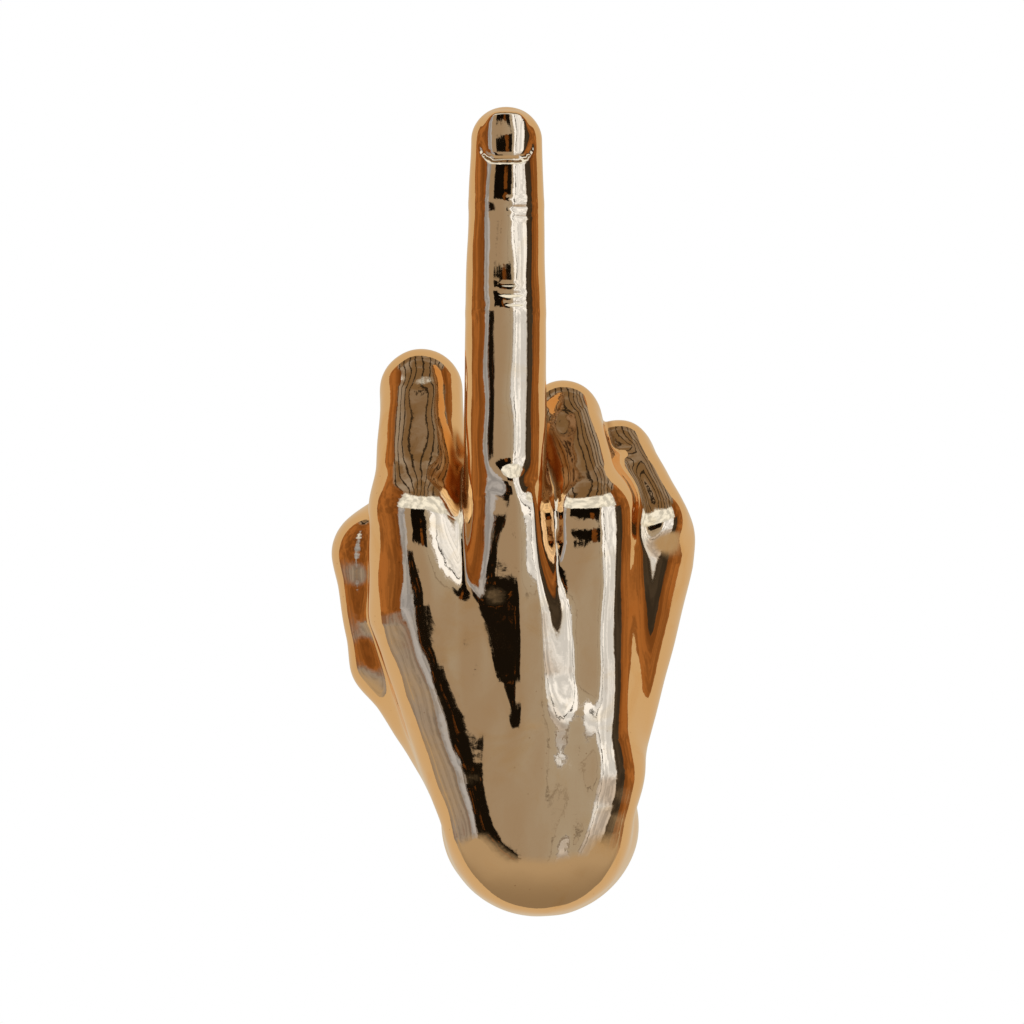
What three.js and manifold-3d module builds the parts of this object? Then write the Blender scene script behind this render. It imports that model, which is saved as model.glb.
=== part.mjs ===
// A life-size right hand that reaches out of a wall, bends up at the wrist and raises its middle finger.
// The hand is one hollow casting with a bright gold finish. Its forearm stub is open at the wall, where a
// bonded plug closes it and carries a steel plate with two keyholes. The keyholes hang on two wall screws.
// Millimetres, +Z up. The wall is the plane y = 0, the viewer is at -Y, and the thumb is at -X.
import * as THREE from "three";
import { mergeVertices } from "three/addons/utils/BufferGeometryUtils.js";
import Module from "manifold-3d";

// Driving dimensions: where the hand stands.
// Points in the hand are [x, set, z]. set is how far a point lies behind the plane of the knuckles.
const standOff = 74; // wall to the plane of the knuckles
const knuckleHeight = 86; // stub's centre to the index and ring fingers' knuckles
const facet = 3.6; // size of a surface facet on the casting
const coreFacet = 6.5; // size of a surface facet inside the casting

// Driving dimensions: the forearm stub and the wrist.
// A square of 2 is an oval section, and a greater one is flatter in front.
const stub = { halfWidth: 24.6, halfHeight: 22.6, trim: 25, end: 26 };
const wrist = {
  from: [-0.6, 14.8, 2], to: [-2, 12.5, 26], widths: [25.2, 24.2], depths: [22.4, 20.4], square: 3.4,
};
const wristBone = { at: [17.5, 5, 16.5], radius: 8.5 };

// Driving dimensions: the flat back of the hand, in three slabs with a round edge.
// Each is outlined by [x, z] corners. front is the set of its face, and radii are its edge's [z, radius].
const flats = {
  index: {
    outline: [
      [-15.5, 15], [-28.5, 62], [-31, knuckleHeight - 2], [-20, knuckleHeight - 6.5], [0, 60],
      [0, -5], [-6, -4], [-12, 3],
    ],
    front: -8, radii: [[-3, 14], [56, 19], [knuckleHeight - 2, 15.5]],
  },
  middle: {
    outline: [[-15, 20], [-15, knuckleHeight - 2], [0, knuckleHeight - 2], [0, 20]],
    front: -8, radii: [[20, 12]],
  },
  ring: {
    outline: [[-4, -3], [-4, knuckleHeight], [15, knuckleHeight], [13.6, 8], [8, -3]],
    front: -7.6, radii: [[4, 11]],
  },
};

// Driving dimensions: the ridge that rises to the raised finger. rise and the leans are slopes up the hand.
// Its right flank, from the crest to the end, draws in towards the finger above narrowFrom.
const ridge = {
  start: 28.5, fade: [knuckleHeight, knuckleHeight + 11], rise: 0.078, soft: 1.2,
  foot: -7.4, footLean: -0.293, crest: [-6.5, -0.5], crestLean: -0.06,
  end: 8.5, endLean: -0.17, narrowFrom: 52,
};

// Driving dimensions: the valleys beside the raised finger's knuckle. sink is a slope up the hand.
const valleys = {
  index: { x: -20.5, start: 61, sink: 0.32, left: 5, right: 9 },
  ring: { x: 6.2, start: 57, sink: 0.26, left: 6.6, right: 2.6 },
};
const valleyRun = 30; // height over which a valley deepens
const valleyEase = 8; // height over which it starts

// Driving dimensions: the swellings on the index and ring fingers' knuckles
const swells = {
  index: { x: -33.5, z: knuckleHeight - 4, height: 1.2, halfWidth: 6.5, halfHeight: 5.5 },
  ring: { x: 13.8, z: knuckleHeight - 3, height: 1.2, halfWidth: 5, halfHeight: 5.5 },
};

// Driving dimensions: the sets between which the hand's relief runs out
const risesBetween = [2, -4];
const sinksBetween = [8, 0];

// Driving dimensions: the fingers. leans are the angles from upright to the little finger's side, and bends
// are those from upright to the wall, one for each phalanx.
const fingers = {
  index: {
    from: [-32.2, 6.4, knuckleHeight], leans: [0, -4, -4], bends: [30, 184, 216], lengths: [38, 27, 21],
    soft: 2, squares: [3, 2, 2],
    widths: [12.6, 12, 10.9, 10.4, 10, 9], depths: [13.2, 12, 10.6, 9.8, 9.4, 8.6],
  },
  middle: {
    from: [-9.9, 2.6, knuckleHeight - 16], leans: [0.17, 0.3, 0.3], bends: [-2.2, 1, 3],
    lengths: [69.1, 29, 17.4], soft: 0.3, squares: [2.2, 2.2, 2.2],
    widths: [11.4, 11.1, 10.8, 10.4, 10.1, 9.5], depths: [12.4, 11.2, 10.2, 9.4, 9, 8.2],
  },
  ring: {
    from: [13, 5.4, knuckleHeight], leans: [-15, 3, 3], bends: [33, 184, 218], lengths: [31, 26, 20],
    soft: 2, squares: [3, 2, 2],
    widths: [10.4, 10.2, 9.8, 9.4, 9.2, 8.2], depths: [12, 11, 9.8, 9, 8.8, 8],
  },
  little: {
    from: [30.6, 13.4, knuckleHeight - 4], leans: [-26, 8, 8], bends: [33, 182, 214], lengths: [25.6, 21, 17],
    soft: 2, squares: [3, 2, 2],
    widths: [10, 9.8, 9.4, 8.8, 8.6, 7.6], depths: [11, 10, 8.6, 8, 7.8, 7],
  },
};

// Driving dimensions: the thumb, from its root at the wrist to its tip
const thumb = {
  joints: [[-15, 16, 15], [-38.2, 30, 46], [-43, 30, 75], [-27, 43, 93]],
  across: [0.84, -0.54, 0.16], soft: 3.5, squares: [2, 4.5, 2],
  widths: [14, 13.4, 12.4, 12.8, 12.4, 9.8], depths: [14, 13, 11.4, 11.8, 11.4, 8.4],
};

// Driving dimensions: the soft masses of the palm and the skin between the fingers
const pads = {
  thumbSide: { from: [-14.2, 20, 15], to: [-26, 31, 46], radii: [15.2, 16.2] },
  littleSide: { from: [12.6, 12.6, 14], to: [23.5, 18.6, knuckleHeight - 12], radii: [13.8, 17.7] },
  fist: { from: [-24, 14, knuckleHeight - 2], to: [24, 16, knuckleHeight - 5], radii: [7.5, 7.5] },
};
const webs = {
  index: { from: [-21.5, 8, knuckleHeight], to: [-21.5, 10, knuckleHeight + 14], radii: [6, 5] },
  ring: { from: [3, 11, knuckleHeight - 6], to: [2, 15.5, knuckleHeight + 18], radii: [6, 6.5] },
  little: { from: [21.5, 10, knuckleHeight - 4], to: [19, 16, knuckleHeight + 10], radii: [5.5, 4.5] },
};

// Driving dimensions: how widely neighbouring forms run into each other
const flow = { stub: 9, back: 2, palm: 4, arm: 3, wrist: 7, thumb: 6, fingers: 1.6, knuckles: 3, webs: 5 };

// Driving dimensions: the hollow in the stub and the palm, and the socket for the plug
const shellWall = 6;
const palmCore = { from: [-2, 12, 26], to: [-4, 6, 64], widths: [15, 20], depths: [9, 6], flow: 7 };
const socketWall = 4.5;

// Driving dimensions: the pad, the plug, the keyhole plate and the fixings
const padThickness = 1.3;
const padInset = 1; // from the stub's edge to the pad's
const plateRecess = 0.9; // from the casting's end to the plate
const plate = { height: 20, thickness: 1.5, margin: 1.6 };
const keyhole = { spacing: 15, travel: 7, slotPlay: 0.6, entryPlay: 1 };
const pocket = { play: 2, depthPlay: 3.2, floor: 7 };
const plateScrew = { edge: 3.2, diameter: 2.9, length: 9, headDiameter: 5.4, headHeight: 1.2 };
const wallScrew = { diameter: 4, length: 38, headDiameter: 8, headHeight: 2.8 };
const wallPlug = { diameter: 7, length: 30, lipDiameter: 9, lipThickness: 0.8, taperLength: 6, taper: 0.5 };
const screwTip = { flat: 0.3, taper: 1 }; // shares of the screw's diameter
const screwHead = { rim: 0.45, crown: 0.9, crownWidth: 0.72 }; // shares of the head's height and width
const clearance = 0.3;
const roundSides = 24;

// Vectors and blends
const vec = (x, y, z) => new THREE.Vector3(x, y, z);
const { clamp, degToRad: radians, smoothstep } = THREE.MathUtils;
const acrossHand = vec(1, 0, 0);
const towardsWall = vec(0, 1, 0);

function handPoint([x, set, z]) {
  return vec(x, set - standOff, z);
}

function setOf(point) {
  return point.y + standOff;
}

// A smooth step from 0 at one value to 1 at another, which may be the lesser
function step(value, from, to) {
  return from < to ? smoothstep(value, from, to) : 1 - smoothstep(value, to, from);
}

// The lesser of two distances, rounded over where they are within a width of each other.
function merge(a, b, width) {
  const near = Math.max(width - Math.abs(a - b), 0) / width;
  return Math.min(a, b) - (near * near * width) / 4;
}

// A value that runs smoothly through evenly spaced ones, at a share of the way along them.
function along(values, share) {
  const place = clamp(share, 0, 1) * (values.length - 1);
  const i = Math.min(Math.floor(place), values.length - 2);
  const t = place - i;
  const rise = values[i + 1] - values[i];
  const startSlope = (values[i + 1] - values[Math.max(i - 1, 0)]) / 2;
  const endSlope = (values[Math.min(i + 2, values.length - 1)] - values[i]) / 2;
  const bend = 3 * rise - 2 * startSlope - endSlope;
  const twist = startSlope + endSlope - 2 * rise;
  return values[i] + t * (startSlope + t * (bend + t * twist));
}

// A value that runs straight between [place, value] pairs and is level beyond them.
function between(pairs, place) {
  const next = pairs.findIndex(([at]) => at > place);
  if (next === -1) return pairs.at(-1)[1];
  if (next === 0) return pairs[0][1];
  const [[low, start], [high, end]] = pairs.slice(next - 1);
  return start + ((end - start) * (place - low)) / (high - low);
}

// Distance to a round-ended bar. across is the direction of its width, and square flattens front and back.
function limb(from, to, across, widths, depths, square = 2) {
  const axis = to.clone().sub(from);
  const length = axis.length();
  axis.divideScalar(length);
  const side = across.clone().addScaledVector(axis, -across.dot(axis)).normalize();
  const front = axis.clone().cross(side);
  const offset = vec(0, 0, 0);
  return (point) => {
    offset.subVectors(point, from);
    const reach = offset.dot(axis);
    const halfWidth = along(widths, reach / length);
    const halfDepth = along(depths, reach / length);
    const halfEnd = Math.sqrt(halfWidth * halfDepth);
    const u = offset.dot(side) / halfWidth;
    const v = Math.abs(offset.dot(front)) / halfDepth;
    const w = (reach - clamp(reach, 0, length)) / halfEnd;
    const around = Math.hypot(u, w);
    const scaled = (around ** square + v ** square) ** (1 / square);
    if (scaled === 0) return -Math.min(halfWidth, halfDepth);
    const sideways = around === 0 ? 0 : (around / scaled) ** (square - 1) / around;
    const forwards = (v / scaled) ** (square - 1);
    const slope = Math.hypot((sideways * u) / halfWidth, (sideways * w) / halfEnd, forwards / halfDepth);
    return (scaled - 1) / slope;
  };
}

// Distance to a slab with a flat face and a round edge. Its outline is convex and clockwise to the viewer.
function flatBack({ outline, front, radii }) {
  const ends = outline.map(([x, z]) => new THREE.Vector2(x, z));
  const spans = ends.map((end, i) => ends[(i + 1) % ends.length].clone().sub(end));
  const spot = new THREE.Vector2();
  return (point) => {
    const radius = between(radii, point.z);
    let outside = Infinity;
    let within = true;
    spans.forEach((span, i) => {
      spot.set(point.x, point.z).sub(ends[i]);
      if (span.cross(spot) >= 0) within = false;
      const share = clamp(spot.dot(span) / span.lengthSq(), 0, 1);
      outside = Math.min(outside, spot.addScaledVector(span, -share).length());
    });
    return Math.hypot(within ? 0 : outside, setOf(point) - front - radius) - radius;
  };
}

// Several distances blended into one.
function blend(fields, width) {
  return (point) => {
    let least = Infinity;
    for (const field of fields) least = merge(least, field(point), width);
    return least;
  };
}

// Limbs through a row of joints. Each has a size at its start, middle and end, the last one at its ends only.
function chain(joints, acrosses, { widths, depths, squares, soft }) {
  const limbs = joints.slice(1).map((joint, i) => {
    const last = i === joints.length - 2;
    const part = (values) => values.slice(2 * i, last ? 2 * i + 2 : 2 * i + 3);
    return limb(joints[i], joint, acrosses[i], part(widths), part(depths), squares[i]);
  });
  return blend(limbs, soft);
}

// A round limb between two points of the hand, neither of which lies straight behind the other
function pad({ from, to, radii }) {
  return limb(handPoint(from), handPoint(to), towardsWall, radii, radii);
}

// The hand as distances
function fingerJoints(name) {
  const { from, leans, bends, lengths } = fingers[name];
  const joints = [handPoint(from)];
  lengths.forEach((length, i) => {
    const [lean, bend] = [radians(leans[i]), radians(bends[i])];
    const way = vec(Math.sin(lean) * Math.cos(bend), Math.sin(bend), Math.cos(lean) * Math.cos(bend));
    joints.push(joints[i].clone().addScaledVector(way, length));
  });
  return joints;
}

function finger(name) {
  const acrosses = fingers[name].leans.map(radians).map((lean) => vec(Math.cos(lean), 0, -Math.sin(lean)));
  return chain(fingerJoints(name), acrosses, fingers[name]);
}

function thumbField() {
  const acrosses = thumb.joints.slice(1).map(() => vec(...thumb.across));
  return chain(thumb.joints.map(handPoint), acrosses, thumb);
}

function stubEnds() {
  return [vec(0, stub.trim, 0), handPoint([0, stub.end, 0])];
}

function forearmField() {
  const { halfWidth, halfHeight } = stub;
  const bar = limb(...stubEnds(), acrossHand, [halfWidth, halfWidth], [halfHeight, halfHeight]);
  const { from, to, widths, depths, square } = wrist;
  return blend([bar, limb(handPoint(from), handPoint(to), acrossHand, widths, depths, square)], flow.stub);
}

// How far the ridge stands out at a point
function ridgeRise(point) {
  const [left, right] = ridge.crest;
  const above = Math.max(point.z - ridge.start, 0);
  const drawn = Math.max(point.z - ridge.narrowFrom, 0);
  const foot = ridge.foot + ridge.footLean * above;
  const run = Math.max(left - foot, ridge.soft);
  const climb = -merge(foot - point.x, 0, ridge.soft);
  const climbed = merge(climb, run, ridge.soft) / run;
  const kept = 1 - step(point.x, right + ridge.crestLean * drawn, ridge.end + ridge.endLean * drawn);
  const below = 1 - step(point.z, ...ridge.fade);
  return ridge.rise * above * climbed * kept * below * step(setOf(point), ...risesBetween);
}

// How far a swelling stands out at a point
function swellRise({ x, z, height, halfWidth, halfHeight }) {
  return (point) => {
    const share = ((point.x - x) / halfWidth) ** 2 + ((point.z - z) / halfHeight) ** 2;
    return height * Math.exp(-share) * step(setOf(point), ...risesBetween);
  };
}

// How far a valley sinks the surface at a point
function valleySink({ x, start, sink, left, right }) {
  return (point) => {
    const share = (point.x - x) / (point.x < x ? left : right);
    const above = clamp(point.z - start, 0, valleyRun);
    const depth = (sink * above * above) / (above + valleyEase);
    return depth * Math.exp(-share * share) * step(setOf(point), ...sinksBetween);
  };
}

function handField() {
  const back = blend(Object.values(flats).map(flatBack), flow.back);
  const forearm = forearmField();
  const rises = [ridgeRise, ...Object.values(swells).map(swellRise)];
  const sinks = Object.values(valleys).map(valleySink);
  const palm = blend(Object.values(pads).map(pad), flow.palm);
  const webbing = blend(Object.values(webs).map(pad), flow.palm);
  const bone = handPoint(wristBone.at);
  const opposed = thumbField();
  const folded = blend(["index", "ring", "little"].map(finger), flow.fingers);
  const raised = finger("middle");
  return (point) => {
    let distance = merge(back(point), forearm(point), flow.arm);
    for (const rise of rises) distance -= rise(point);
    for (const sink of sinks) distance += sink(point);
    distance = merge(distance, palm(point), flow.palm);
    distance = merge(distance, bone.distanceTo(point) - wristBone.radius, flow.wrist);
    distance = merge(distance, opposed(point), flow.thumb);
    const digits = merge(folded(point), raised(point), flow.fingers);
    distance = merge(distance, digits, flow.knuckles);
    return merge(distance, webbing(point), flow.webs);
  };
}

// The hollow follows the stub and runs on into the palm. The fingers and the thumb are solid.
function coreField() {
  const forearm = forearmField();
  const { from, to, widths, depths } = palmCore;
  const palm = limb(handPoint(from), handPoint(to), acrossHand, widths, depths);
  return (point) => merge(forearm(point) + shellWall, palm(point), palmCore.flow);
}

// The block of space that holds every form of the hand
function handBlock(margin) {
  const block = new THREE.Box3();
  const hold = (points, ...sizes) => {
    block.union(new THREE.Box3().setFromPoints(points).expandByScalar(Math.max(...sizes.flat())));
  };
  hold(stubEnds(), stub.halfWidth, stub.halfHeight);
  hold([wrist.from, wrist.to].map(handPoint), wrist.widths, wrist.depths);
  hold(thumb.joints.map(handPoint), thumb.widths, thumb.depths);
  for (const [name, { widths, depths }] of Object.entries(fingers)) hold(fingerJoints(name), widths, depths);
  for (const { outline, front, radii } of Object.values(flats)) {
    const reach = Math.max(...radii.map(([, radius]) => radius));
    hold(outline.map(([x, z]) => handPoint([x, front + reach, z])), reach);
  }
  for (const { from, to, radii } of [...Object.values(pads), ...Object.values(webs)]) {
    hold([from, to].map(handPoint), radii);
  }
  return block.expandByScalar(margin);
}

// A closed surface round the points of negative distance, one vertex to each cell of a grid that it crosses.
const corners = [0, 1, 2, 3, 4, 5, 6, 7].map((i) => [i & 1, (i >> 1) & 1, i >> 2]);
const edges = corners.flatMap((_, i) => [1, 2, 4].filter((bit) => !(i & bit)).map((bit) => [i, i | bit]));

// True if the corners in a set of eight, one bit each, hang together along the cell's edges.
function connected(set) {
  let seen = set & -set;
  for (let grown = 0; grown !== seen; ) {
    grown = seen;
    for (const [a, b] of edges) {
      const both = (set >> a) & (set >> b) & 1;
      const either = ((seen >> a) | (seen >> b)) & 1;
      if (both && either) seen |= (1 << a) | (1 << b);
    }
  }
  return seen === set;
}
const fullCell = 2 ** corners.length - 1;
const cellSets = Array.from({ length: fullCell + 1 }, (_, set) => set);
const simpleCell = cellSets.map((set) => connected(set) && connected(fullCell - set));
const otherAxes = [[1, 2], [2, 0], [0, 1]];

function surfaceOf(field, block, cell) {
  const counts = block.max.clone().sub(block.min).divideScalar(cell).ceil().addScalar(1).toArray();
  const strides = [1, counts[0], counts[0] * counts[1]];
  const values = new Float32Array(counts[0] * counts[1] * counts[2]);
  const offsets = corners.map(([i, j, k]) => i + j * strides[1] + k * strides[2]);
  const place = (i, j, k) => vec(i, j, k).multiplyScalar(cell).add(block.min);
  const insideOf = (base) => offsets.reduce((set, offset, i) => set | ((values[base + offset] < 0) << i), 0);

  // Visits every corner of the grid, or every cell by its first corner.
  function visitGrid(visit, short) {
    for (let k = 0; k < counts[2] - short; k++) {
      for (let j = 0; j < counts[1] - short; j++) {
        for (let i = 0; i < counts[0] - short; i++) visit(i, j, k, i + j * strides[1] + k * strides[2]);
      }
    }
  }
  const visitCells = (visit) => visitGrid(visit, 1);
  visitGrid((i, j, k, base) => { values[base] = field(place(i, j, k)); }, 0);

  // A cell where two sheets would meet is filled at its nearest outer corner, to keep the surface one skin.
  for (let mended = true; mended; ) {
    mended = false;
    visitCells((i, j, k, base) => {
      if (simpleCell[insideOf(base)]) return;
      const outer = offsets.filter((offset) => values[base + offset] >= 0);
      outer.sort((a, b) => values[base + a] - values[base + b]);
      values[base + outer[0]] = -cell / 100;
      mended = true;
    });
  }

  const vertices = [];
  const vertexOf = new Int32Array(values.length).fill(-1);
  visitCells((i, j, k, base) => {
    const inside = insideOf(base);
    if (inside === 0 || inside === fullCell) return;
    const sum = vec(0, 0, 0);
    let crossings = 0;
    for (const [a, b] of edges) {
      if (((inside >> a) & 1) === ((inside >> b) & 1)) continue;
      const share = values[base + offsets[a]] / (values[base + offsets[a]] - values[base + offsets[b]]);
      sum.add(vec(...corners[a]).lerp(vec(...corners[b]), share));
      crossings++;
    }
    const spot = vec(i, j, k).addScaledVector(sum, 1 / crossings).multiplyScalar(cell).add(block.min);
    vertexOf[base] = vertices.push(settle(field, spot, cell)) - 1;
  });

  const triangles = [];
  const quad = (a, b, c, d) => {
    const [p, q, r, s] = [a, b, c, d].map((v) => vertices[v]);
    if (p.distanceTo(r) < q.distanceTo(s)) triangles.push(a, b, c, a, c, d);
    else triangles.push(a, b, d, b, c, d);
  };
  visitCells((i, j, k, base) => {
    otherAxes.forEach(([first, second], axis) => {
      if ([i, j, k][first] === 0 || [i, j, k][second] === 0) return;
      const starts = values[base] < 0;
      if (starts === values[base + strides[axis]] < 0) return;
      const [u, v] = [strides[first], strides[second]];
      const ring = [base - u - v, base - v, base, base - u].map((spot) => vertexOf[spot]);
      quad(...(starts ? ring : ring.reverse()));
    });
  });
  const positions = vertices.flatMap((vertex) => vertex.toArray());
  const geometry = new THREE.BufferGeometry();
  geometry.setAttribute("position", new THREE.Float32BufferAttribute(positions, 3));
  return geometry.setIndex(triangles);
}

// Moves a point onto the surface along the field's slope, by half a cell at most.
function settle(field, spot, cell) {
  const probeStep = cell / 50;
  const leastSlope = 0.2;
  const moved = spot.clone();
  for (let round = 0; round < 3; round++) {
    const here = field(moved);
    const slope = vec(...["x", "y", "z"].map((key) => {
      const probe = moved.clone();
      probe[key] += probeStep;
      return (field(probe) - here) / probeStep;
    }));
    moved.addScaledVector(slope, -here / Math.max(slope.lengthSq(), leastSlope));
  }
  return moved.sub(spot).clampLength(0, cell / 2).add(spot);
}

// Solids: joins and cuts
const wasm = await Module();
wasm.setup();

function solidFrom(geometry) {
  const bare = geometry.clone();
  bare.deleteAttribute("normal");
  bare.deleteAttribute("uv");
  const merged = mergeVertices(bare, 1e-4);
  return new wasm.Manifold(new wasm.Mesh({
    numProp: 3,
    vertProperties: new Float32Array(merged.attributes.position.array),
    triVerts: new Uint32Array(merged.index.array),
  }));
}

function geometryFrom(solid) {
  const mesh = solid.getMesh();
  const geometry = new THREE.BufferGeometry();
  geometry.setAttribute("position", new THREE.BufferAttribute(new Float32Array(mesh.vertProperties), 3));
  geometry.setIndex(new THREE.BufferAttribute(new Uint32Array(mesh.triVerts), 1));
  geometry.computeVertexNormals();
  return geometry;
}

// Outlines in the wall's plane, with x across and y up
function ellipse(halfWidth, halfHeight) {
  const shape = new THREE.Shape();
  shape.absellipse(0, 0, halfWidth, halfHeight, 0, Math.PI, false, 0);
  shape.absellipse(0, 0, halfWidth, halfHeight, Math.PI, 2 * Math.PI, false, 0);
  return shape;
}

function disc(x, y, radius) {
  return slot(x, y, y, 2 * radius);
}

function stadium(length, height) {
  const reach = (length - height) / 2;
  const shape = new THREE.Shape();
  shape.absarc(reach, 0, height / 2, -Math.PI / 2, Math.PI / 2, false);
  shape.absarc(-reach, 0, height / 2, Math.PI / 2, (3 * Math.PI) / 2, false);
  return shape.closePath();
}

// An upright slot with round ends, from its lower centre to its upper one
function slot(x, low, high, width) {
  const shape = new THREE.Shape();
  shape.absarc(x, high, width / 2, 0, Math.PI, false);
  shape.absarc(x, low, width / 2, Math.PI, 2 * Math.PI, false);
  return shape.closePath();
}

// Extrudes an outline towards the viewer, from one distance off the wall to a greater one.
function slab(shape, near, far) {
  const geometry = new THREE.ExtrudeGeometry(shape, {
    depth: far - near, bevelEnabled: false, curveSegments: roundSides / 2, steps: 1,
  });
  return geometry.rotateX(Math.PI / 2).translate(0, -near, 0);
}

// A turned piece whose axis is square to the wall. Its profile is [radius, y] pairs.
function turned(profile, x, z) {
  const points = profile.map(([radius, y]) => new THREE.Vector2(radius, y));
  return new THREE.LatheGeometry(points, roundSides).translate(x, 0, z);
}

function cut(solid, shape, near, far) {
  return solid.subtract(solidFrom(slab(shape, near, far)));
}

// Distances off the wall, from the pad outwards
const castingEnd = padThickness + clearance;
const plateBack = castingEnd + plateRecess;
const plateFront = plateBack + plate.thickness;
const plugBack = plateFront + clearance;
const pocketEnd = plugBack + wallScrew.headHeight + pocket.depthPlay;
const plugFront = pocketEnd + pocket.floor;
const socketFloor = plugFront + clearance;

// Places in the wall's plane. At rest each wall screw is at the upper end of its keyhole.
const socket = { halfWidth: stub.halfWidth - socketWall, halfHeight: stub.halfHeight - socketWall };
const plateLength = 2 * (socket.halfWidth - plate.margin);
const plateScrewX = plateLength / 2 - plateScrew.edge;
const wallScrewX = keyhole.spacing / 2;
const slotTop = keyhole.travel / 2;
const slotFoot = -keyhole.travel / 2;
const slotWidth = wallScrew.diameter + keyhole.slotPlay;
const sides = { left: -1, right: 1 };

function castHand() {
  const whole = solidFrom(surfaceOf(handField(), handBlock(2 * facet), facet));
  const core = solidFrom(surfaceOf(coreField(), handBlock(2 * coreFacet), coreFacet));
  const reach = 2 * Math.max(stub.halfWidth, stub.halfHeight);
  const beyond = 2 * (stub.trim + reach);
  const wall = new THREE.BoxGeometry(2 * reach, beyond, 2 * reach).translate(0, beyond / 2 - castingEnd, 0);
  const hollowed = whole.subtract(solidFrom(wall)).subtract(core);
  return geometryFrom(cut(hollowed, ellipse(socket.halfWidth, socket.halfHeight), -stub.trim, socketFloor));
}

function backPlug() {
  const outline = ellipse(socket.halfWidth - clearance, socket.halfHeight - clearance);
  const pilotEnd = plateBack + plateScrew.length + clearance;
  let solid = solidFrom(slab(outline, plugBack, plugFront));
  for (const side of Object.values(sides)) {
    const room = slot(side * wallScrewX, slotFoot, slotTop, wallScrew.headDiameter + pocket.play);
    const pilot = disc(side * plateScrewX, 0, plateScrew.diameter / 2 + clearance);
    solid = cut(solid, room, 0, pocketEnd);
    solid = cut(solid, pilot, 0, pilotEnd);
  }
  return geometryFrom(solid);
}

function keyholePlate() {
  const entry = (wallScrew.headDiameter + keyhole.entryPlay) / 2;
  let solid = solidFrom(slab(stadium(plateLength, plate.height), plateBack, plateFront));
  for (const side of Object.values(sides)) {
    solid = cut(solid, disc(side * wallScrewX, slotFoot, entry), 0, plugFront);
    solid = cut(solid, slot(side * wallScrewX, slotFoot, slotTop, slotWidth), 0, plugFront);
    solid = cut(solid, disc(side * plateScrewX, 0, plateScrew.diameter / 2 + clearance), 0, plugFront);
  }
  return geometryFrom(solid);
}

function wallPad() {
  const outline = ellipse(stub.halfWidth - padInset, stub.halfHeight - padInset);
  outline.holes.push(ellipse(socket.halfWidth, socket.halfHeight));
  return slab(outline, 0, padThickness);
}

// A screw with a domed head that faces the viewer, or the wall when turned round. seat is under the head.
function screw({ diameter, length, headDiameter, headHeight }, seat, facesWall, x, z) {
  const way = facesWall ? -1 : 1; // from the head to the tip, along y
  const shank = diameter / 2;
  const head = headDiameter / 2;
  const tip = seat + way * length;
  const profile = [
    [0, tip],
    [diameter * screwTip.flat / 2, tip],
    [shank, tip - way * diameter * screwTip.taper],
    [shank, seat],
    [head, seat],
    [head, seat - way * headHeight * screwHead.rim],
    [head * screwHead.crownWidth, seat - way * headHeight * screwHead.crown],
    [0, seat - way * headHeight],
  ];
  return turned(facesWall ? profile : profile.reverse(), x, z);
}

function plateScrewAt(side) {
  return screw(plateScrew, clearance - plateBack, true, side * plateScrewX, 0);
}

function wallScrewAt(side) {
  return screw(wallScrew, -plugBack, false, side * wallScrewX, slotTop);
}

function wallPlugAt(side) {
  const bore = wallScrew.diameter / 2 + clearance;
  const outer = wallPlug.diameter / 2;
  const lip = wallPlug.lipDiameter / 2;
  const profile = [
    [bore, 0],
    [lip, 0],
    [lip, wallPlug.lipThickness],
    [outer, wallPlug.lipThickness],
    [outer, wallPlug.length - wallPlug.taperLength],
    [outer - wallPlug.taper, wallPlug.length],
    [bore, wallPlug.length],
    [bore, 0],
  ];
  return turned(profile, side * wallScrewX, slotTop);
}

// The assembly
const gold = new THREE.MeshStandardMaterial({ color: 0xd9a35c, roughness: 0.06, metalness: 1 });
const steel = new THREE.MeshStandardMaterial({ color: 0xb9bcc0, roughness: 0.35, metalness: 1 });
const resin = new THREE.MeshStandardMaterial({ color: 0x2b2a29, roughness: 0.7, metalness: 0 });
const felt = new THREE.MeshStandardMaterial({ color: 0x3a3836, roughness: 0.95, metalness: 0 });
const nylon = new THREE.MeshStandardMaterial({ color: 0xc9c6bd, roughness: 0.55, metalness: 0 });

function piece(name, geometry, material) {
  const mesh = new THREE.Mesh(geometry, material);
  mesh.name = name;
  return mesh;
}

const sculpture = new THREE.Group();
sculpture.add(
  piece("hand_casting", castHand(), gold),
  piece("back_plug", backPlug(), resin),
  piece("keyhole_plate", keyholePlate(), steel),
  piece("wall_pad", wallPad(), felt),
);
for (const [name, side] of Object.entries(sides)) {
  sculpture.add(
    piece(`plate_screw_${name}`, plateScrewAt(side), steel),
    piece(`wall_screw_${name}`, wallScrewAt(side), steel),
    piece(`wall_plug_${name}`, wallPlugAt(side), nylon),
  );
}

export default sculpture;
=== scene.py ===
import math

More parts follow.
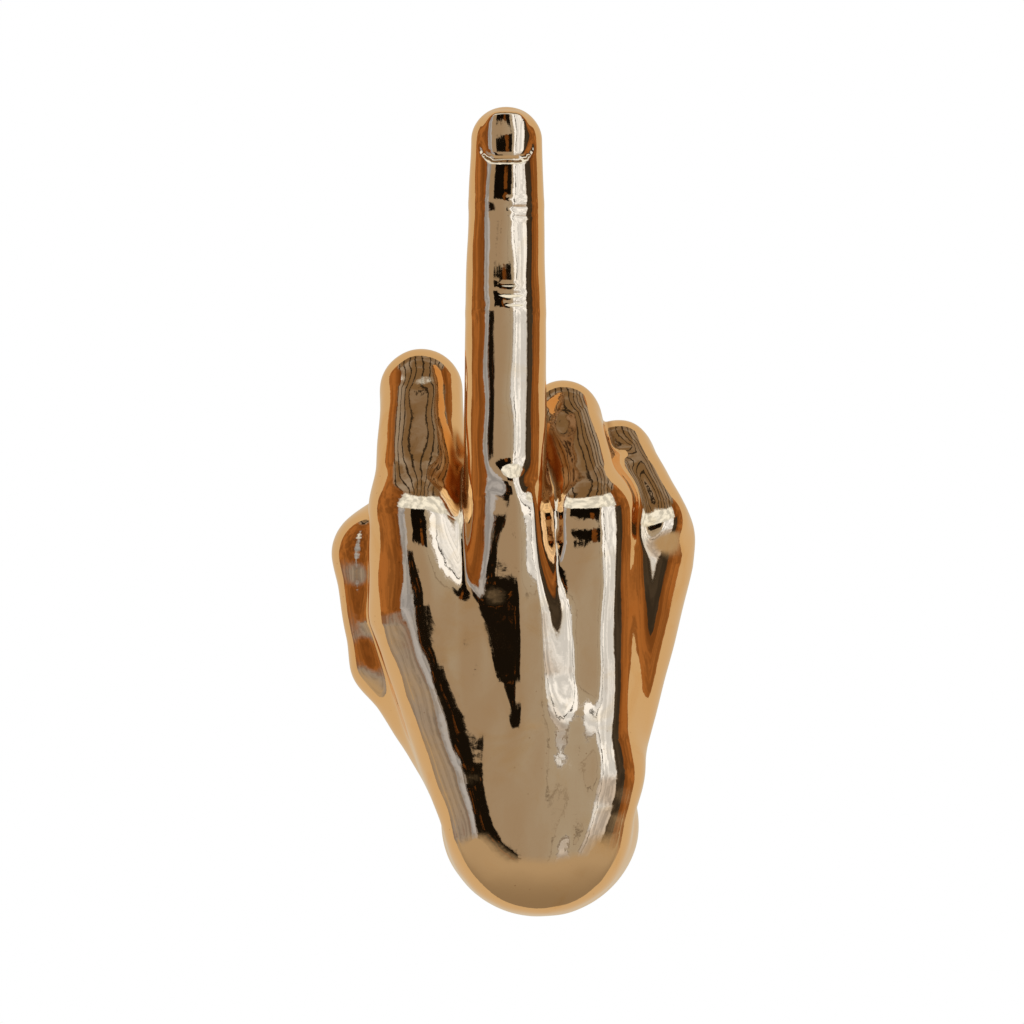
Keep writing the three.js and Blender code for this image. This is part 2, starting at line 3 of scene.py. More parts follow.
import bmesh
import bpy
import numpy as np
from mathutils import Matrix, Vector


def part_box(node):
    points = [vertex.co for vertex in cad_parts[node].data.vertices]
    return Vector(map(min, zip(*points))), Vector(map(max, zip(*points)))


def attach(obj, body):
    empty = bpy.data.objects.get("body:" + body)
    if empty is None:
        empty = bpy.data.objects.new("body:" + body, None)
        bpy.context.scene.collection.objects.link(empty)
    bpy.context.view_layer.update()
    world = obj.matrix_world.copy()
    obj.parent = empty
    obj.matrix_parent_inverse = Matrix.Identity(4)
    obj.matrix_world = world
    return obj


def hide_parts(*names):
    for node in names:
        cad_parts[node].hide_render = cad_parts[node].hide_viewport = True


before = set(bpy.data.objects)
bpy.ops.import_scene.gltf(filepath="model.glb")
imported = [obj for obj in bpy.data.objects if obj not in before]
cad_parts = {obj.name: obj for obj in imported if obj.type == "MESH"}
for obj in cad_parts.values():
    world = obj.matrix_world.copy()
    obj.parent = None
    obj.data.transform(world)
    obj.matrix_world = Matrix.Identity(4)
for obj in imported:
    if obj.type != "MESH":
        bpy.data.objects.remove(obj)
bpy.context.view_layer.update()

scene = bpy.context.scene
mm = 0.001
print("frame loaded:", ", ".join(sorted(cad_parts)))


def placed(name, data):
    made = bpy.data.objects.new(name, data)
    scene.collection.objects.link(made)
    return made


def placesOf(mesh):
    places = np.empty(3 * len(mesh.vertices), np.float32)
    mesh.vertices.foreach_get("co", places)
    return places.reshape(-1, 3)


# The hand's form: distances in millimetres, below zero inside. A point is (x, set, z), and set is how far
# it lies behind the raised finger's knuckle.
hand = {
    "standOff": 74.0,  # wall to the raised finger's knuckle
    "grid": 1.7,  # first cells, halved once
    "space": ((-76, -112, -42), (58, 8, 212)),  # corners of the block that holds it, with its true y
    "settle": {"first": (0.7, 3), "halved": (0.4, 2)},  # most move onto the surface, in cells, and rounds
    "stub": {"from": (0, 99, 0), "to": (0, 26, 0), "widths": [24.6, 24.6], "depths": [22.6, 22.6],
             "square": 2},
    "wrist": {"from": (-0.6, 14.8, 2), "to": (-2, 12.5, 26), "widths": [25.2, 24.2], "depths": [22.4, 20.4],
              "square": 3.4},
    "wristBone": {"at": (17.5, 5, 16.5), "radius": 8.5},
    "plates": {  # the flat back of the hand, outlined by x and z
        "index": {"corners": [(-15.5, 15), (-28.5, 62), (-31, 86.5), (-20, 82), (0, 60), (0, -5), (-6, -4),
                              (-12, 3)],
                  "front": -8, "radii": [(-3, 14), (56, 19), (84, 15.5)], "fall": 0.0075},
        "middle": {"corners": [(-15, 20), (-15, 84), (0, 84), (0, 20)],
                   "front": -8, "radii": [(20, 12)], "fall": 0},
        "ring": {"corners": [(-4, -3), (-4, 87), (15, 87), (13.6, 8), (8, -3)],
                 "front": -7.6, "radii": [(4, 11)], "fall": 0.0085},
    },
    "fallFrom": 72,  # the knuckles fall back above it
    "valleys": {  # between the knuckles, deeper as they go up
        "index": {"x": -20.5, "start": 61, "sink": 0.32, "left": 5, "right": 5.5, "run": 30},
        "ring": {"x": 3.8, "start": 59, "sink": 0.28, "left": 5.5, "right": 3, "run": 19},
    },
    "valleyShape": {  # floor is the share of its width that is round, inFront is where it fades out
        "floor": 0.12, "flank": 1.2, "ease": 8, "inFront": (-8, 0),
    },
    "ridge": {  # it rises from the back of the hand to the raised finger
        "start": 28.5, "fade": (88, 102), "rise": 0.078, "round": 1.2,
        "footStart": -7.4, "footLean": -0.293, "top": (-6.5, -0.5), "right": 8.5, "leastRun": 0.5,
        "inFront": (-2, 4),
        "narrowFrom": 52, "narrow": (0.06, 0.17),  # its right flank draws in towards the finger
    },
    "fingers": {  # leans go to the little finger's side, bends go to the wall, both from upright
        "index": {
            "from": (-32.5, 10.4, 86), "leans": [-0.6, -4, -4], "bends": [30, 184, 216],
            "lengths": [38, 27, 21], "soft": 2, "squares": [3, 2, 2],
            "widths": [12.6, 12, 10.9, 10.4, 10, 9], "depths": [13.2, 12, 10.6, 9.8, 9.4, 8.6],
        },
        "middle": {
            "from": (-9.9, 2.6, 70), "leans": [0.17, 0.3, 0.3], "bends": [-2.2, 1, 3],
            "lengths": [69.1, 29, 17.4], "soft": 0.3, "squares": [2.2, 2.2, 2.2],
            "widths": [11.4, 11.1, 10.8, 10.4, 10.1, 9.5], "depths": [12.4, 11.2, 10.2, 9.4, 9, 8.2],
        },
        "ring": {
            "from": (13, 7.6, 86), "leans": [-15, 3, 3], "bends": [33, 184, 218],
            "lengths": [31, 26, 20], "soft": 2, "squares": [3, 2, 2],
            "widths": [10.4, 10.2, 9.8, 9.4, 9.2, 8.2], "depths": [12, 11, 9.8, 9, 8.8, 8],
        },
        "little": {
            "from": (30.6, 13.4, 82), "leans": [-26, 8, 8], "bends": [33, 182, 214],
            "lengths": [25.6, 21, 17], "soft": 2, "squares": [3, 2, 2],
            "widths": [10, 9.8, 9.4, 8.8, 8.6, 7.6], "depths": [11, 10, 8.6, 8, 7.8, 7],
        },
    },
    "thumb": {
        "joints": [(-15, 16, 15), (-39.4, 30, 46), (-44.2, 30, 75), (-28, 43, 93)],
        "across": (0.97, -0.19, 0.16), "soft": 3.5, "squares": [2, 2.7, 2],
        "widths": [14, 13.4, 12.4, 12.8, 12.4, 9.8], "depths": [14, 13, 11.4, 11.8, 11.4, 8.4],
    },
    "pads": {
        "thumbSide": {"from": (-14.2, 20, 15), "to": (-26, 31, 46), "radii": [15.2, 16.2]},
        "littleSide": {"from": (12.6, 12.6, 14), "to": (23.5, 18.6, 74), "radii": [13.8, 17.7]},
        "fist": {"from": (-24, 14, 84), "to": (24, 16, 81), "radii": [7.5, 7.5]},
    },
    "webs": {
        "index": {"from": (-21.5, 9, 84), "to": (-21.5, 17, 98), "radii": [6, 5]},
        "ring": {"from": (3, 11, 80), "to": (2, 17.5, 104), "radii": [6, 6.5]},
        "little": {"from": (21.5, 10, 82), "to": (19, 16, 96), "radii": [5.5, 4.5]},
    },
    "flow": {"stub": 9, "back": 2, "palm": 4, "arm": 3, "wrist": 7, "thumb": 6, "fingers": 1.6, "knuckles": 3,
             "webs": 5},
    "nails": {  # set is from the last joint to the nail's middle, lift straightens it towards the tip
        "index": {"halfWidth": 6, "halfLength": 6.2, "set": 1},
        "middle": {"halfWidth": 6.7, "halfLength": 6.9, "set": 0.6, "lift": 0.044},
        "ring": {"halfWidth": 5.6, "halfLength": 5.8, "set": 1},
        "little": {"halfWidth": 4.8, "halfLength": 5, "set": 1},
        "thumb": {"halfWidth": 7, "halfLength": 7, "set": 0.5},
    },
    "nailShape": {  # inFront and reach are distances from the finger's middle, where a nail fades in and out
        "corner": 4.6, "groove": 0.6, "grooveWidth": 0.7, "grooveEnd": (-0.8, -0.1), "plate": 0.07,
        "plateEdge": (0, 3.4), "liftEdge": (-0.2, 1.8), "inFront": (0, 4), "reach": (10.5, 13),
    },
    "wrinkles": [  # x, z, half length, depth and half width on the raised finger's back
        (-6.2, 166.5, 3.2, 0.22, 0.7), (-5.2, 163.8, 2.6, 0.18, 0.6), (-7, 168.8, 2.4, 0.14, 0.6),
        (-8.2, 143.6, 3.6, 0.26, 0.7), (-7.4, 141, 3, 0.2, 0.6), (-8.6, 146, 2.6, 0.16, 0.6),
    ],
    "knuckleBump": (-7.6, 94, 4.4, -1.8, 3.8),  # in the same terms
    "wrinkleShape": {"bow": 0.5, "inFront": (0, 4)},
    "ripple": {"seed": 7, "waves": 14, "length": (7, 22), "height": 0.022},
}


def handPoint(point):
    return np.array([point[0], point[1] - hand["standOff"], point[2]], np.float32)


def merge(a, b, width):
    near = np.maximum(width - np.abs(a - b), 0) / width
    return np.minimum(a, b) - near * near * width / 4


def along(values, share):  # a smooth run through evenly spaced values
    values = np.asarray(values, np.float32)
    last = len(values) - 1
    place = np.clip(share, 0, 1) * last
    i = np.minimum(place.astype(int), last - 1)
    t = place - i
    here, there = values[i], values[i + 1]
    rise = there - here
    startSlope = (there - values[np.maximum(i - 1, 0)]) / 2
    endSlope = (values[np.minimum(i + 2, last)] - here) / 2
    bend = 3 * rise - 2 * startSlope - endSlope
    twist = startSlope + endSlope - 2 * rise
    return here + t * (startSlope + t * (bend + t * twist))


def sideOf(axis, across):
    side = np.asarray(across, np.float32) - axis * float(np.dot(across, axis))
    return side / np.linalg.norm(side)


def limb(start, end, across, widths, depths, square=2.0):  # a round-ended bar, oval or squarer in section
    axis = end - start
    length = float(np.linalg.norm(axis))
    axis = axis / length
    side = sideOf(axis, across)
    front = np.cross(axis, side)

    def field(points):
        offset = points - start
        reach = offset @ axis
        a = along(widths, reach / length)
        b = along(depths, reach / length)
        c = np.sqrt(a * b)
        u = np.abs(offset @ side) / a
        v = np.abs(offset @ front) / b
        w = np.abs(reach - np.clip(reach, 0, length)) / c
        flat = np.sqrt(np.maximum(u * u + w * w, 1e-9))
        if square == 2:
            scaled = np.hypot(flat, v)
            flatPull = flat / scaled
            frontPull = v / scaled
        else:
            scaled = (flat ** square + v ** square) ** (1 / square)
            flatPull = (flat / scaled) ** (square - 1)
            frontPull = (v / scaled) ** (square - 1)
        sideways = flatPull * u / (flat * a)
        endways = flatPull * w / (flat * c)
        slope = np.sqrt(sideways ** 2 + endways ** 2 + (frontPull / b) ** 2)
        return (scaled - 1) / np.maximum(slope, 1e-6)
    return field


def blendAll(fields, width):
    def field(points):
        least = fields[0](points)
        for other in fields[1:]:
            least = merge(least, other(points), width)
        return least
    return field


def chain(joints, acrosses, spec):  # each limb has a size at its start, middle and end
    limbs = []
    for i in range(len(joints) - 1):
        part = slice(2 * i, 2 * i + 3) if i < len(joints) - 2 else slice(2 * i, 2 * i + 2)
        limbs.append(limb(joints[i], joints[i + 1], acrosses[i], spec["widths"][part], spec["depths"][part],
                          spec["squares"][i]))
    return blendAll(limbs, spec["soft"])


def pad(spec):
    return limb(handPoint(spec["from"]), handPoint(spec["to"]), (0, 1, 0), spec["radii"], spec["radii"])


def bar(spec):
    return limb(handPoint(spec["from"]), handPoint(spec["to"]), (1, 0, 0), spec["widths"], spec["depths"],
                spec["square"])


def plate(spec):  # a flat outline with a round edge
    corners = np.array(spec["corners"], np.float32)
    heights, radii = zip(*spec["radii"])

    def field(points):
        flat = points[:, [0, 2]]
        radius = np.interp(flat[:, 1], heights, radii).astype(np.float32)
        fall = spec["fall"] * np.maximum(flat[:, 1] - hand["fallFrom"], 0) ** 2
        middle = spec["front"] + fall + radius - hand["standOff"]
        outside = np.full(len(points), np.inf, np.float32)
        inside = np.ones(len(points), bool)
        for here, there in zip(corners, np.roll(corners, -1, 0)):
            edge = there - here
            offset = flat - here
            share = np.clip(offset @ edge / (edge @ edge), 0, 1)
            outside = np.minimum(outside, np.linalg.norm(offset - share[:, None] * edge, axis=1))
            inside &= edge[0] * offset[:, 1] - edge[1] * offset[:, 0] < 0
        return np.hypot(np.where(inside, 0, outside), points[:, 1] - middle) - radius
    return field


def ridgeRise(points):
    spec = hand["ridge"]
    x, z = points[:, 0], points[:, 2]
    above = np.maximum(z - spec["start"], 0)
    foot = spec["footStart"] + spec["footLean"] * above
    run = np.maximum(spec["top"][0] - foot, spec["leastRun"])
    climb = -merge(foot - x, np.zeros_like(x), spec["round"])
    left = merge(climb, run, spec["round"]) / run
    drawn = np.maximum(z - spec["narrowFrom"], 0)
    rightTop = spec["top"][1] - spec["narrow"][0] * drawn
    rightFoot = spec["right"] - spec["narrow"][1] * drawn
    right = 1 - smoothStep(rightTop, rightFoot, x)
    inFront = smoothStep(*spec["inFront"], -points[:, 1] - hand["standOff"])
    low, high = spec["fade"]
    return spec["rise"] * above * left * right * inFront * (1 - smoothStep(low, high, z))


def valleySink(spec):
    shape = hand["valleyShape"]

    def sink(points):
        x = points[:, 0] - spec["x"]
        share = np.hypot(x / np.where(x < 0, spec["left"], spec["right"]), shape["floor"])
        above = np.clip(points[:, 2] - spec["start"], 0, spec["run"])
        inFront = smoothStep(*shape["inFront"], -points[:, 1] - hand["standOff"])
        depth = spec["sink"] * above * above / (above + shape["ease"])
        return depth * np.exp(-shape["flank"] * share) * inFront
    return sink


def fingerJoints(name):
    spec = hand["fingers"][name]
    joints = [handPoint(spec["from"])]
    for lean, bend, length in zip(np.radians(spec["leans"]), np.radians(spec["bends"]), spec["lengths"]):
        way = np.array([np.sin(lean) * np.cos(bend), np.sin(bend), np.cos(lean) * np.cos(bend)])
        joints.append((joints[-1] + length * way).astype(np.float32))
    return joints


def fingerAcrosses(name):
    return [(np.cos(lean), 0, -np.sin(lean)) for lean in np.radians(hand["fingers"][name]["leans"])]


def finger(name):
    return chain(fingerJoints(name), fingerAcrosses(name), hand["fingers"][name])


def smoothStep(low, high, value):
    t = np.clip((value - low) / (high - low), 0, 1)
    return t * t * (3 - 2 * t)


def nail(name):  # how much the skin sinks round a nail and rises on it
    spec, shape = hand["nails"][name], hand["nailShape"]
    if name == "thumb":
        joints = [handPoint(joint) for joint in hand["thumb"]["joints"]]
        across = hand["thumb"]["across"]
    else:
        joints = fingerJoints(name)
        across = fingerAcrosses(name)[-1]
    axis = (joints[-1] - joints[-2]) / np.linalg.norm(joints[-1] - joints[-2])
    side = sideOf(axis, across)
    back = np.cross(side, axis)
    corner = shape["corner"]

    def sink(points):
        offset = points - joints[-1]
        u = np.abs(offset @ side) - spec["halfWidth"] + corner
        s = offset @ axis - spec["set"]
        v = np.abs(s) - spec["halfLength"] + corner
        rim = np.hypot(np.maximum(u, 0), np.maximum(v, 0)) + np.minimum(np.maximum(u, v), 0) - corner
        low, high = shape["grooveEnd"]
        towardsTip = smoothStep(low * spec["halfLength"], high * spec["halfLength"], s)
        groove = shape["groove"] * (1 - towardsTip) * np.exp(-(rim / shape["grooveWidth"]) ** 2)
        rise = shape["plate"] * smoothStep(*shape["plateEdge"], -rim)
        beyondJoint = np.maximum(s + spec["set"], 0)
        rise += spec.get("lift", 0) * beyondJoint ** 2 * smoothStep(*shape["liftEdge"], -rim)
        out = offset @ back
        return (groove - rise) * smoothStep(*shape["inFront"], out) * (1 - smoothStep(*shape["reach"], out))
    return sink


def wrinkle(x, z, halfLength, depth, halfWidth):
    shape = hand["wrinkleShape"]

    def sink(points):
        reach = (points[:, 0] - x) / halfLength
        across = (points[:, 2] - z - shape["bow"] * reach * reach) / halfWidth
        behind = points[:, 1] + hand["standOff"]
        return depth * np.exp(-across * across - reach * reach) * smoothStep(*shape["inFront"], -behind)
    return sink


def rippleOf(spec):
    rng = np.random.default_rng(spec["seed"])
    ways = rng.normal(size=(spec["waves"], 3))
    ways /= np.linalg.norm(ways, axis=1, keepdims=True)
    lengths = rng.uniform(*spec["length"], spec["waves"])
    turns = rng.uniform(0, 2 * np.pi, spec["waves"])

    def rise(points):
        total = np.zeros(len(points), np.float32)
        for way, length, turn in zip(ways, lengths, turns):
            total += np.sin(points @ (way * 2 * np.pi / length).astype(np.float32) + turn)
        return total * spec["height"]
    return rise


def handField():
    flow = hand["flow"]
    back = blendAll([plate(spec) for spec in hand["plates"].values()], flow["back"])
    forearm = blendAll([bar(hand["stub"]), bar(hand["wrist"])], flow["stub"])
    palm = blendAll([pad(spec) for spec in hand["pads"].values()], flow["palm"])
    webbing = blendAll([pad(spec) for spec in hand["webs"].values()], flow["palm"])
    wristBone = handPoint(hand["wristBone"]["at"])
    folded = blendAll([finger(name) for name in ("index", "ring", "little")], flow["fingers"])
    raised = finger("middle")
    thumbJoints = [handPoint(joint) for joint in hand["thumb"]["joints"]]
    thumb = chain(thumbJoints, [hand["thumb"]["across"]] * 3, hand["thumb"])
    valleys = [valleySink(spec) for spec in hand["valleys"].values()]
    folds = [*hand["wrinkles"], hand["knuckleBump"]]
    marks = [nail(name) for name in hand["nails"]] + [wrinkle(*spec) for spec in folds]
    ripple = rippleOf(hand["ripple"])

    def field(points):
        distance = merge(back(points), forearm(points), flow["arm"]) - ridgeRise(points)
        for valley in valleys:
            distance = distance + valley(points)
        distance = merge(distance, palm(points), flow["palm"])
        knob = np.linalg.norm(points - wristBone, axis=1) - hand["wristBone"]["radius"]
        distance = merge(distance, knob, flow["wrist"])
        distance = merge(distance, thumb(points), flow["thumb"])
        digits = merge(folded(points), raised(points), flow["fingers"])
        distance = merge(distance, digits, flow["knuckles"])
        distance = merge(distance, webbing(points), flow["webs"])
        for mark in marks:
            distance = distance + mark(points)
        return distance + ripple(points)
    return field


cellCorners = [(i & 1, (i >> 1) & 1, i >> 2) for i in range(8)]
cellEdges = [(i, i | bit) for i in range(8) for bit in (1, 2, 4) if not i & bit]


def connected(corners):  # the corners in a set of eight bits hang together along the cell's edges
    seen = corners & -corners
    grown = 0
    while grown != seen:
        grown = seen
        for a, b in cellEdges:
            if corners >> a & 1 and corners >> b & 1 and (seen >> a | seen >> b) & 1:
                seen |= 1 << a | 1 << b
    return seen == corners


roughBlock = 4  # cells to each side of a block of the rough grid


def gridValues(field, low, counts, cell):  # exact near the surface, rough elsewhere
    block = roughBlock
    rough = counts // block
    axes = [low[i] + cell * (block * np.arange(rough[i]) + (block - 1) / 2) for i in range(3)]
    middles = np.stack(np.meshgrid(*axes, indexing="ij"), -1).reshape(-1, 3).astype(np.float32)
    far = field(middles).reshape(rough)

    def spread(array):
        return array.repeat(block, 0).repeat(block, 1).repeat(block, 2)
    values = spread(far).astype(np.float32)
    nearBlocks = 1.5
    near = spread(np.abs(far) < nearBlocks * block * cell)
    values[near] = field((low + cell * np.argwhere(near)).astype(np.float32))
    return values


def cornerOf(array, corner):
    return array[tuple(slice(c, n - 1 + c) for c, n in zip(corner, array.shape))]


def keepOneSkin(values, cell):  # fills a corner of each cell where two sheets would meet
    simple = np.array([connected(s) and connected(255 - s) for s in range(256)])
    while True:
        inside = sum((cornerOf(values, corner) < 0).astype(int) << i for i, corner in enumerate(cellCorners))
        tangled = np.argwhere(~simple[inside])
        if len(tangled) == 0:
            return
        for base in tangled:
            spots = [tuple(base + corner) for corner in cellCorners]
            outer = [spot for spot in spots if values[spot] >= 0]
            if outer:
                values[min(outer, key=lambda spot: values[spot])] = -cell / 100


def surfaceOf(field, low, high, cell):  # one vertex to each crossed cell, one quad to each crossed edge
    low = np.asarray(low, np.float32)
    counts = np.ceil((np.asarray(high) - low) / (roughBlock * cell)).astype(int) * roughBlock
    values = gridValues(field, low, counts, cell)
    keepOneSkin(values, cell)
    total = np.zeros((*(counts - 1), 3), np.float32)
    crossings = np.zeros(counts - 1, np.float32)
    for a, b in cellEdges:
        start, end = cornerOf(values, cellCorners[a]), cornerOf(values, cellCorners[b])
        crossed = (start < 0) != (end < 0)
        share = np.where(crossed, start / np.where(crossed, start - end, 1), 0)
        step = np.subtract(cellCorners[b], cellCorners[a])
        total += crossed[..., None] * cellCorners[a] + share[..., None] * step
        crossings += crossed
    live = crossings > 0
    index = np.full(live.shape, -1)
    index[live] = np.arange(live.sum())
    vertices = low + cell * (np.argwhere(live) + total[live] / crossings[live][:, None])
    quads = []
    for axis in range(3):
        first, second = np.eye(3, dtype=int)[(axis + 1) % 3], np.eye(3, dtype=int)[(axis + 2) % 3]
        lower = tuple(slice(0, -1) if k == axis else slice(1, -1) for k in range(3))
        upper = tuple(slice(1, None) if k == axis else slice(1, -1) for k in range(3))
        inside = values[lower] < 0
        crossed = np.argwhere(inside != (values[upper] < 0))
        base = crossed + first + second
        ring = [base - first - second, base - second, base, base - first]
        faces = np.stack([index[tuple(spot.T)] for spot in ring], 1)
        outwards = inside[tuple(crossed.T)]
        quads.append(np.where(outwards[:, None], faces, faces[:, ::-1]))
    return vertices.astype(np.float32), np.concatenate(quads)


def slopeAt(field, points, reach):
    steps = reach * np.eye(3, dtype=np.float32)
    return np.stack([field(points + step) - field(points - step) for step in steps], 1) / (2 * reach)


def settled(field, points, most, rounds):  # moved onto the surface
    feeler = 0.08
    leastSlope = 0.2
    moved = points.copy()
    for _ in range(rounds):
        slope = slopeAt(field, moved, feeler)
        moved -= slope * (field(moved) / np.maximum((slope * slope).sum(1), leastSlope))[:, None]
    move = moved - points
    length = np.linalg.norm(move, axis=1, keepdims=True)
    return points + move * np.minimum(1, most * hand["grid"] / np.maximum(length, 1e-9))


def halved(vertices, quads):  # every quad into four
    pairs = np.stack([quads, np.roll(quads, -1, 1)], -1)
    edges, which = np.unique(np.sort(pairs.reshape(-1, 2), 1), axis=0, return_inverse=True)
    middles = vertices[edges].mean(1)
    centres = vertices[quads].mean(1)
    edgeAt = len(vertices) + which.reshape(-1, 4)
    centreAt = len(vertices) + len(edges) + np.arange(len(quads))
    parts = [np.stack([quads[:, i], edgeAt[:, i], centreAt, edgeAt[:, i - 1]], 1) for i in range(4)]
    return np.concatenate([vertices, middles, centres]).astype(np.float32), np.concatenate(parts)


# The hand's mesh
def meshObject(name, vertices, faces):
    mesh = bpy.data.meshes.new(name)
    places = (np.asarray(vertices, float) * mm).tolist()
    mesh.from_pydata(places, [], [tuple(map(int, face)) for face in faces])
    mesh.shade_smooth()
    return placed(name, mesh)


stubEnd = {
    "cut": -2.4, "end": -1.6, "floor": -17.6,  # distances from the wall
    "halfWidth": 20.1, "halfHeight": 18.1,  # the socket for the plug
}
# share of the way from the skin to the socket, distance from the wall, and turn of the surface
stubRings = [(0.05, -1.85, 45), (0.14, stubEnd["end"], 90), (0.93, stubEnd["end"], 90), (1, -1.9, 180),
             (1, stubEnd["floor"], 180)]


def closeStub(form):  # the cut rim turns in to the socket, and the socket gets its floor
    rim = sorted((v for v in form.verts if v.is_boundary), key=lambda v: math.atan2(v.co.z, v.co.x))
    angles = [math.atan2(v.co.z / stubEnd["halfHeight"], v.co.x / stubEnd["halfWidth"]) for v in rim]
    rings = [rim]
    turns = {}
    for share, y, turn in stubRings:
        outwards = math.cos(math.radians(turn))
        backwards = math.sin(math.radians(turn))
        ring = []
        for v, angle in zip(rim, angles):
            x = v.co.x + share * (stubEnd["halfWidth"] * math.cos(angle) - v.co.x)
            z = v.co.z + share * (stubEnd["halfHeight"] * math.sin(angle) - v.co.z)
            ring.append(form.verts.new((x, y, z)))
            turns[ring[-1]] = (outwards * math.cos(angle), backwards, outwards * math.sin(angle))
        rings.append(ring)
    for outer, inner in zip(rings, rings[1:]):
        for i in range(len(rim)):
            form.faces.new((outer[i - 1], outer[i], inner[i], inner[i - 1]))
    middle = form.verts.new((0, stubEnd["floor"], 0))
    turns[middle] = (0, 1, 0)
    for i in range(len(rim)):
        form.faces.new((rings[-1][i - 1], rings[-1][i], middle))
    form.normal_update()
    form.verts.index_update()
    return {v.index: turn for v, turn in turns.items()}


def castHand():
    field = handField()
    vertices, quads = surfaceOf(field, *hand["space"], hand["grid"])
    vertices = settled(field, vertices, *hand["settle"]["first"])
    vertices, quads = halved(vertices, quads)
    vertices = settled(field, vertices, *hand["settle"]["halved"])
    form = bmesh.new()
    corners = [form.verts.new(vertex) for vertex in vertices]
    for quad in quads:
        form.faces.new([corners[i] for i in quad])
    bmesh.ops.bisect_plane(form, geom=form.verts[:] + form.edges[:] + form.faces[:], dist=1e-4,
                           plane_co=(0, stubEnd["cut"], 0), plane_no=(0, 1, 0), clear_outer=True)
    turned = closeStub(form)
    mesh = bpy.data.meshes.new("hand")
    form.to_mesh(mesh)
    form.free()
    places = placesOf(mesh)
    feeler = 0.1
    normals = slopeAt(field, places, feeler)
    normals /= np.linalg.norm(normals, axis=1, keepdims=True)
    feel = 4.5  # how far out a crease is felt
    # Crease depth at each point, by which the gold finish paints shade into its creases
    creaseShade = np.clip(1 - field(places + feel * normals) / feel, 0, 1)
    ringPoints = list(turned)
    normals[ringPoints] = list(turned.values())
    creaseShade[ringPoints] = 0
    mesh.vertices.foreach_set("co", (places * mm).ravel())
    mesh.attributes.new("creaseShade", "FLOAT", "POINT").data.foreach_set("value", creaseShade.astype(np.float32))
    mesh.shade_smooth()
    mesh.update()
    mesh.normals_split_custom_set_from_vertices(normals.tolist())
    return placed("hand", mesh)


handPiece = castHand()
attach(handPiece, "sculpture")
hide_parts("hand_casting")
print("hand:", len(handPiece.data.vertices), "points")


# Turned and pressed fixings
def latheObject(name, stations, sides):  # stations are (x, y, z) rows round a closed or pole-ended form
    vertices = np.concatenate([np.stack(np.broadcast_arrays(*station), 1) for station in stations])
    faces = []
    for i in range(len(stations) - 1):
        for j in range(sides):
            k = (j + 1) % sides
            faces.append((i * sides + j, i * sides + k, (i + 1) * sides + k, (i + 1) * sides + j))
    first, last = len(vertices), len(vertices) + 1
    poles = [vertices[:sides].mean(0), vertices[-sides:].mean(0)]
    foot = (len(stations) - 1) * sides
    for j in range(sides):
        k = (j + 1) % sides
        faces.append((first, k, j))
        faces.append((last, foot + j, foot + k))
    made = meshObject(name, np.concatenate([vertices, poles]), faces)
    sharpFrom = 38
    made.data.set_sharp_from_angle(angle=math.radians(sharpFrom))
    return made


def middleOf(node):
    low, high = (np.array(corner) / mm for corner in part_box(node))
    return (low + high) / 2, low, high


wallScrewLook = {
    "shank": 2, "head": 4, "headHeight": 2.8, "recess": 4.6, "slot": 1.0, "depth": 1.5,
    "pitch": 1.8, "core": 0.72, "plain": 8,
}
plateScrewLook = {
    "shank": 1.45, "head": 2.7, "headHeight": 1.2, "recess": 2.8, "slot": 0.7, "depth": 0.7,
    "pitch": 1.2, "core": 0.72, "plain": 1.5,
}
screwShape = {  # what both screws share
    "sides": 48, "crownFrom": 0.03, "crownRings": 22, "crownDrop": 0.55, "crownPower": 2.6,
    "slotEdge": 0.12, "slotTaper": 0.5, "rim": 0.25, "chamfer": 0.15, "neck": 0.35, "runOut": 0.6,
    "end": 0.05, "ringsPerTurn": 9, "crest": 1.15, "flank": 0.24, "tip": 0.06, "tipPower": 0.8,
}


def screwObject(name, node, look, way):  # way is from the head to the tip, along y
    shape = screwShape
    shank, head, headHeight = look["shank"], look["head"], look["headHeight"]
    middle, low, high = middleOf(node)
    tip, top = (high[1], low[1]) if way > 0 else (low[1], high[1])
    length = abs(tip - top)
    turn = np.linspace(0, 2 * math.pi, shape["sides"], endpoint=False)
    stations = []

    def ring(radius, depth):  # depth is from the head's top
        x = middle[0] + way * radius * np.cos(turn)
        z = middle[2] + radius * np.sin(turn)
        stations.append((x, top + way * (depth + 0 * turn), z))

    def recess(radius):
        u, v = np.abs(radius * np.cos(turn)), np.abs(radius * np.sin(turn))
        arm = np.clip((look["slot"] / 2 - np.minimum(u, v)) / shape["slotEdge"] + 0.5, 0, 1)
        end = np.clip((look["recess"] / 2 - np.maximum(u, v)) / shape["slotEdge"] + 0.5, 0, 1)
        taper = 1 - shape["slotTaper"] * np.maximum(u, v) / (look["recess"] / 2)
        return look["depth"] * arm * end * taper

    for share in np.linspace(shape["crownFrom"], 1, shape["crownRings"]):  # from the crown's middle out
        crown = shape["crownDrop"] * headHeight * share ** shape["crownPower"]
        ring(head * share, crown + recess(head * share))
    ring(head, headHeight - shape["rim"])
    ring(head - shape["chamfer"], headHeight)
    ring(shank + shape["neck"], headHeight)
    ring(shank, headHeight + shape["neck"])
    core = shank * look["core"]
    start = headHeight + look["plain"]
    ring(shank, start - shape["runOut"])
    for depth in np.arange(start, length - shape["end"], look["pitch"] / shape["ringsPerTurn"]):
        phase = (depth / look["pitch"] - turn / (2 * math.pi)) % 1
        ridge = np.clip(shape["crest"] - np.abs(phase - 0.5) / shape["flank"], 0, 1)
        runIn = min(1, (depth - start) / look["pitch"])
        taper = np.clip((length - depth) / (2 * shank), shape["tip"], 1) ** shape["tipPower"]
        ring((core + (shank - core) * ridge * runIn) * taper, depth)
    return latheObject(name, stations, shape["sides"])


